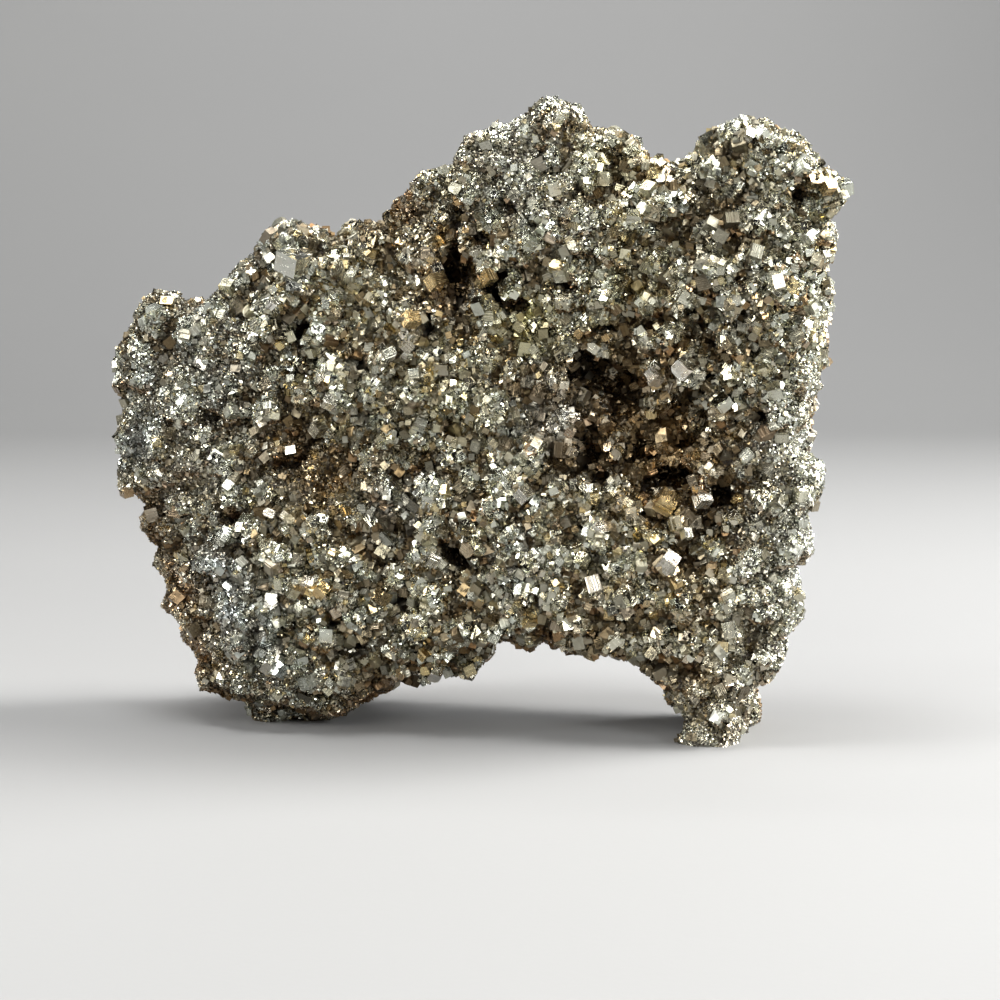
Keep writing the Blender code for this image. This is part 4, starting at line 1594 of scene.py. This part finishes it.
@dataclass
class ShowPieces:
    """The crystals that catch the eye, each with a face turned to one of the lights.

    Attributes:
        eye: Where the viewer stands, in metres.
        lights: Where the lights hang, by name.
        face_depth: How far before the slab's middle their places are read, in mm.
        risen: How far their middles lie over the skin, in edges.
        shares: How common the habits are among them.
    """

    eye: np.ndarray
    lights: dict[str, np.ndarray]
    face_depth: float = 15.0
    risen: float = 0.2
    shares: tuple[float, float, float, float] = (0.45, 0.2, 0.15, 0.2)

    def build(self, skin: Skin) -> tuple[bpy.types.Object, np.ndarray]:
        """Build them.

        Args:
            skin: What they grow on.

        Returns:
            The piece, and the crystals' places and edges as rows of five, as a crop gives them.
        """
        rng = np.random.default_rng(31)
        tree = BVHTree.FromPolygons(skin.points.tolist(), skin.corners.tolist())
        rows = []
        turns, tints, lined = [], [], []
        for crystal in SHOW_CRYSTALS:
            aim = ALONG * crystal.along * MM - THROUGH * self.face_depth * MM
            aim += np.array((*SLAB_MIDDLE, crystal.up * MM))
            foot, outward, number, _ = tree.ray_cast(Vector(self.eye), Vector(aim - self.eye))
            if foot is None:
                continue
            light, tint = crystal.glance.value
            to_eye = unit((self.eye - foot)[None])[0]
            shown = np.array(outward)
            if light:
                shown = unit((to_eye + unit((self.lights[light] - foot)[None])[0])[None])[0]
            shown = unit((shown + rng.normal(scale=0.02, size=3))[None])[0]
            side = unit(np.cross(shown, rng.normal(size=3))[None])[0]
            turns.append(np.stack([side, np.cross(shown, side), shown], axis=1))
            # The WHITE metal is paler than any other because those crystals face the window light: partly a
            # painted highlight.
            tints.append(np.array(tint) * rng.uniform(0.92, 1.06))
            lined.append(crystal.lined)
            rows.append((*foot, number, crystal.edge * MM))
        grown = np.array(rows)
        habits = [Habit.CUBE, Habit.TRUNCATED, Habit.STEPPED, Habit.TWIN]
        picks = rng.choice(len(habits), size=len(grown), p=self.shares)
        edges = grown[:, 4:]
        crystals = Crystals(
            habits,
            picks,
            grown[:, :3] + skin.normals[grown[:, 3].astype(int)] * self.risen * edges,
            np.array(turns),
            edges * rng.uniform(0.75, 1.1, (len(grown), 3)),
            np.array(tints),
            rng.uniform(0.05, 0.14, len(grown)),
            np.array(lined),
        )
        return crystals.piece("show_crystals", LARGE_FINISH, 32), grown


def triangle_cells(count: int) -> np.ndarray:
    """Give each triangle its own cell of a square chart.

    Args:
        count: How many triangles.

    Returns:
        Two coordinates for each corner, one after another.
    """
    columns = math.ceil(math.sqrt(count))
    inset = np.array(((0.2, 0.2), (0.8, 0.2), (0.2, 0.8)))
    cell = np.stack([np.arange(count) % columns, np.arange(count) // columns], axis=1)
    return ((cell[:, None] + inset[None]) / columns).astype(np.float32).ravel()


@dataclass
class SolidBody:
    """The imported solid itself: its large cubes, and the massive pyrite under everything else.

    Attributes:
        skin: The cluster's surface.
        tinting: Gives the crystals their colours.
    """

    skin: Skin
    tinting: Tinting

    def cubes(self) -> bpy.types.Object:
        """Carry over the faces of the large cubes as they are, striated and bright.

        Returns:
            The piece.
        """
        skin = self.skin
        rows = np.flatnonzero(skin.cube >= 0)
        cube = skin.cube[rows]
        numbers, which = np.unique(cube, return_inverse=True)
        first = np.array([rows[which == i][0] for i in range(len(numbers))])
        tints, polish = self.tinting.colours(
            skin.middles[first], skin.normals[first], skin.openness[first], skin.height[first]
        )
        rng = np.random.default_rng(8)
        offsets = rng.uniform(0, STRIAE_FIELD, (len(numbers), 2))
        lined = np.where(rng.random(len(numbers)) < 0.65, rng.uniform(0.5, 1.0, len(numbers)), 0.1)
        face = np.empty((len(rows), 3, 2))
        for i in range(len(numbers)):
            mine = np.flatnonzero(which == i)
            normals = skin.normals[rows[mine]]
            areas = skin.areas[rows[mine]]
            first_axis = normals[int(np.argmax(areas))]
            square = np.abs(normals @ first_axis) < 0.05
            second = np.array((0.0, 0.0, 1.0))
            if square.any():
                second = normals[square][int(np.argmax(areas[square]))]
            second = unit((second - first_axis * (second @ first_axis))[None])[0]
            axes = np.stack([first_axis, second, np.cross(first_axis, second)])
            nearest = np.argmax(np.abs(normals @ axes.T), axis=1)
            corners = skin.points[skin.corners[rows[mine]]] / MM
            for j, k in enumerate(nearest):
                face[mine[j]] = corners[j] @ axes[[(k + 1) % 3, (k + 2) % 3]].T + offsets[i]
        points = skin.points[skin.corners[rows]].reshape(-1, 3)
        mesh = bare_mesh("large_cubes", points, np.arange(len(points)), np.arange(0, len(points), 3))
        charts = {"OFBake": triangle_cells(len(rows)), "face": face.astype(np.float32).ravel()}
        for layer, values in charts.items():
            mesh.uv_layers.new(name=layer).uv.foreach_set("vector", values)
        carry(mesh, "tint", tints[which])
        carry(mesh, "polish", polish[which] * 0.8)
        carry(mesh, "striae", lined[which])
        return keep_piece(mesh, "large_cubes", LARGE_FINISH.material())

    def ground(self) -> bpy.types.Object:
        """Build the lumpy ground between the large cubes.

        Returns:
            The piece.
        """
        skin = self.skin
        rows = np.flatnonzero(skin.cube < 0)
        used, corners = np.unique(skin.corners[rows], return_inverse=True)
        tints, polish = self.tinting.colours(
            skin.middles[rows], skin.normals[rows], skin.openness[rows], skin.height[rows]
        )
        mesh = bare_mesh("lumpy_ground", skin.points[used], corners.ravel(), np.arange(0, corners.size, 3))
        mesh.uv_layers.new(name="OFBake").uv.foreach_set("vector", triangle_cells(len(rows)))
        carry(mesh, "tint", tints)
        carry(mesh, "polish", polish)
        return keep_piece(mesh, "lumpy_ground", GROUND_FINISH.material())


@dataclass
class Cluster:
    """Everything that grows: the solid's own faces, the show crystals and the crops of smaller ones.

    Attributes:
        eye: Where the viewer stands, in metres.
        lights: Where the lights hang, by name.
        tinting: Gives the crystals their colours.
        skin: What they grow on.
    """

    eye: np.ndarray
    lights: dict[str, np.ndarray]
    tinting: Tinting = field(default_factory=Tinting)
    skin: Skin = field(default_factory=Skin)

    def crops(self) -> list[tuple[CrystalCrop, np.ndarray, int]]:
        """Say what grows where.

        Returns:
            Each crop, with how thickly it grows on each triangle and how many places it tries.
        """
        middles, normals = self.skin.middles, self.skin.normals
        pitted = smooth_step(self.skin.height, -0.2, -0.7)
        bare = (normals[:, 2] < -0.99) & (middles[:, 2] < 0.1 * MM)
        free = np.where(self.skin.cube < 0, 1.0, 0.3) * ~bare * (1.0 - 0.85 * pitted)
        front = self.tinting.zone_share(middles, normals)
        coarse = coarseness(middles)
        facing = 0.03 + 0.97 * smooth_step(-(normals @ THROUGH), 0.2, 0.6)
        right = middles[:, 0] > 0
        whole = {Habit.CUBE: 0.46, Habit.TRUNCATED: 0.14, Habit.STEPPED: 0.24, Habit.TWIN: 0.16}
        cubes, sugar = {Habit.CUBE: 1.0}, {Habit.CORNER: 1.0}
        grain = {"crowding": 0.5, "sunk": (-0.2, 0.1)}
        return [
            (
                CrystalCrop(
                    "coarse_crystals", whole, (0.9, 2.1), LARGE_FINISH, 21, 0.74, 175_000, fineness=2.2
                ),
                free * (front * facing * (0.015 + coarse) + 0.04 * (1 - front)),
                24_000,
            ),
            (
                CrystalCrop("small_cubes", cubes, (0.5, 0.95), SMALL_FINISH, 22, 0.72, 185_000),
                free * (front * facing * (0.15 + 0.85 * coarse) + 0.12 * (1 - front)),
                60_000,
            ),
            (
                CrystalCrop("right_sugar", sugar, (0.34, 0.7), SUGAR_FINISH, 23, **grain),
                free * front * right,
                100_000,
            ),
            (
                CrystalCrop("left_sugar", sugar, (0.34, 0.7), SUGAR_FINISH, 24, **grain),
                free * front * ~right,
                100_000,
            ),
            (
                CrystalCrop(
                    "back_grains", sugar, (0.5, 1.1), BACK_FINISH, 25, most_triangles=110_000, **grain
                ),
                free * (1 - front),
                90_000,
            ),
        ]

    def build(self) -> list[bpy.types.Object]:
        """Build the pieces.

        Returns:
            The pieces.
        """
        skin = self.skin
        log.info("skin: %d large cubes, openness %.2f", len(np.unique(skin.cube)) - 1, skin.openness.mean())
        body = SolidBody(skin, self.tinting)
        pieces = [body.ground(), body.cubes()]
        show, stands = ShowPieces(self.eye, self.lights).build(skin)
        pieces.append(show)
        for crop, weights, tries in self.crops():
            larger = KDTree(len(stands))
            for i, row in enumerate(stands):
                larger.insert(row[:3], i)
            larger.balance()
            grown = crop.grow(skin, weights, larger, tries)
            crystals = crop.crystals(skin, grown, self.tinting)
            if Habit.CORNER not in crop.habits:
                stands = np.concatenate([stands, grown[: len(crystals.picks)]])
            pieces.append(crystals.piece(crop.name, crop.finish, crop.seed + 200))
            log.info("%s: %d of %d crystals", crop.name, len(crystals.picks), len(grown))
        return pieces


@dataclass(frozen=True)
class Softbox:
    """A soft studio light.

    Attributes:
        name: Its name.
        place: Where it hangs, in metres.
        size: Its width and height, in metres.
        power: Its power in watts.
        colour: Its colour.
        aim: The place that it faces, in metres.
    """

    name: str
    place: tuple[float, float, float]
    size: tuple[float, float]
    power: float
    colour: tuple[float, float, float]
    aim: tuple[float, float, float] = (0.0, 0.0, 0.045)

    def hang(self) -> None:
        """Hang the light and turn it to what it lights."""
        lamp = bpy.data.lights.new(self.name, "AREA")
        lamp.shape = "RECTANGLE"
        lamp.size, lamp.size_y = self.size
        lamp.energy = self.power
        lamp.color = self.colour
        light = bpy.data.objects.new(self.name, lamp)
        light.location = self.place
        light.rotation_euler = (Vector(self.aim) - Vector(self.place)).to_track_quat("-Z", "Y").to_euler()
        bpy.context.scene.collection.objects.link(light)


@dataclass
class Studio:
    """The pale floor, the lights and the camera.

    Attributes:
        lights: The softboxes.
        glow: Brightness of the light from all round.
        lens: Focal length in mm, for a sensor 36 mm wide.
        height: Height of the camera, in metres.
        distance: Its distance in front of the slab's middle, in metres.
        aside: How far right of it the camera stands, in metres.
        down: How far it looks down, in degrees.
        floor_half: Half the floor's width, in metres.
        floor_near: Where the floor starts before the cluster, in metres.
        sweep_start: Where the floor starts to rise behind it, in metres.
        sweep_radius: Radius of that rise, in metres.
        backdrop_height: Where the backdrop ends, in metres.
    """

    lights: tuple[Softbox, ...] = (
        Softbox("window_light", (0.40, 0.04, 0.50), (0.30, 0.30), 7.3, (1.0, 0.98, 0.95)),
        Softbox("right_light", (0.60, 0.13, 0.28), (0.30, 0.36), 5.5, (0.96, 0.98, 1.0)),
        Softbox("near_right_light", (0.42, -0.52, 0.26), (0.18, 0.26), 2.8, (0.98, 0.99, 1.0)),
        Softbox("front_fill", (-0.30, -0.62, 0.48), (0.50, 0.40), 3.2, (1.0, 0.98, 0.95)),
        Softbox("top_light", (-0.12, -0.08, 0.66), (0.22, 0.22), 3.9, (1.0, 1.0, 1.0)),
        Softbox("left_light", (-0.60, -0.14, 0.30), (0.14, 0.30), 2.6, (1.0, 1.0, 1.0)),
        Softbox(
            "backdrop_light", (0.0, 0.34, 0.80), (0.80, 0.20), 6.0, (1.0, 1.0, 1.0), aim=(0.0, 0.95, 0.25)
        ),
    )
    glow: float = 0.015
    lens: float = 86.4
    height: float = 0.070
    distance: float = 0.360
    aside: float = 0.0028
    down: float = 5.75
    floor_half: float = 1.8
    floor_near: float = -1.4
    sweep_start: float = 0.6
    sweep_radius: float = 0.4
    backdrop_height: float = 1.8

    def floor(self) -> bpy.types.Object:
        """Lay the pale floor, which sweeps up behind the cluster.

        Returns:
            The floor.
        """
        start, radius = self.sweep_start, self.sweep_radius
        profile = [(self.floor_near, 0.0), (start, 0.0)]
        for angle in np.linspace(0.1, math.pi / 2, 12):
            profile.append((start + radius * math.sin(angle), radius - radius * math.cos(angle)))
        profile.append((start + radius, self.backdrop_height))
        points = [(x, y, z) for y, z in profile for x in (-self.floor_half, self.floor_half)]
        faces = [(2 * i, 2 * i + 1, 2 * i + 3, 2 * i + 2) for i in range(len(profile) - 1)]
        mesh = bpy.data.meshes.new("pale_floor")
        mesh.from_pydata(points, [], faces)
        for polygon in mesh.polygons:
            polygon.use_smooth = True
        material = bpy.data.materials.new("pale_floor")
        nodes = Nodes(material)
        grey = nodes.mix(nodes.noise(3.0, 3.0), (0.22, 0.22, 0.22), (0.25, 0.25, 0.246))
        nodes.link(grey, nodes.shader.inputs["Base Color"])
        nodes.link(nodes.bump(nodes.noise(900.0), 0.1 * MM, 0.15), nodes.shader.inputs["Normal"])
        nodes.shader.inputs["Roughness"].default_value = 0.6
        mesh.materials.append(material)
        floor = bpy.data.objects.new("pale_floor", mesh)
        bpy.context.scene.collection.objects.link(floor)
        return floor

    @property
    def eye(self) -> np.ndarray:
        """Where the camera stands."""
        return np.array((SLAB_MIDDLE[0] + self.aside, SLAB_MIDDLE[1] - self.distance, self.height))

    def set_up(self) -> None:
        """Set up the floor, the lights, the light from all round and the camera."""
        self.floor()
        for light in self.lights:
            light.hang()
        world = bpy.data.worlds.new("studio")
        world.use_nodes = True
        world.node_tree.nodes["Background"].inputs["Color"].default_value = (0.95, 0.98, 1.0, 1.0)
        world.node_tree.nodes["Background"].inputs["Strength"].default_value = self.glow
        scene = bpy.context.scene
        scene.world = world
        scene.view_settings.view_transform = "Standard"
        scene.cycles.max_bounces = 5
        scene.cycles.diffuse_bounces = 2
        scene.cycles.glossy_bounces = 2
        camera = bpy.data.cameras.new("camera")
        camera.lens = self.lens
        camera.sensor_width = 36.0
        camera.clip_start, camera.clip_end = 0.01, 10.0
        eye = bpy.data.objects.new("camera", camera)
        eye.location = self.eye
        eye.rotation_euler = (math.radians(90.0 - self.down), 0.0, 0.0)
        scene.collection.objects.link(eye)
        scene.camera = eye


def main() -> None:
    """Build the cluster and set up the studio."""
    logging.basicConfig(level=logging.INFO, format="%(message)s")
    studio = Studio()
    lights = {light.name: np.array(light.place) for light in studio.lights}
    for piece in Cluster(studio.eye, lights).build():
        piece.data.calc_loop_triangles()
        log.info("%s: %d triangles", piece.name, len(piece.data.loop_triangles))
    studio.set_up()
    bpy.context.view_layer.update()


if __name__ == "__main__":
    main()
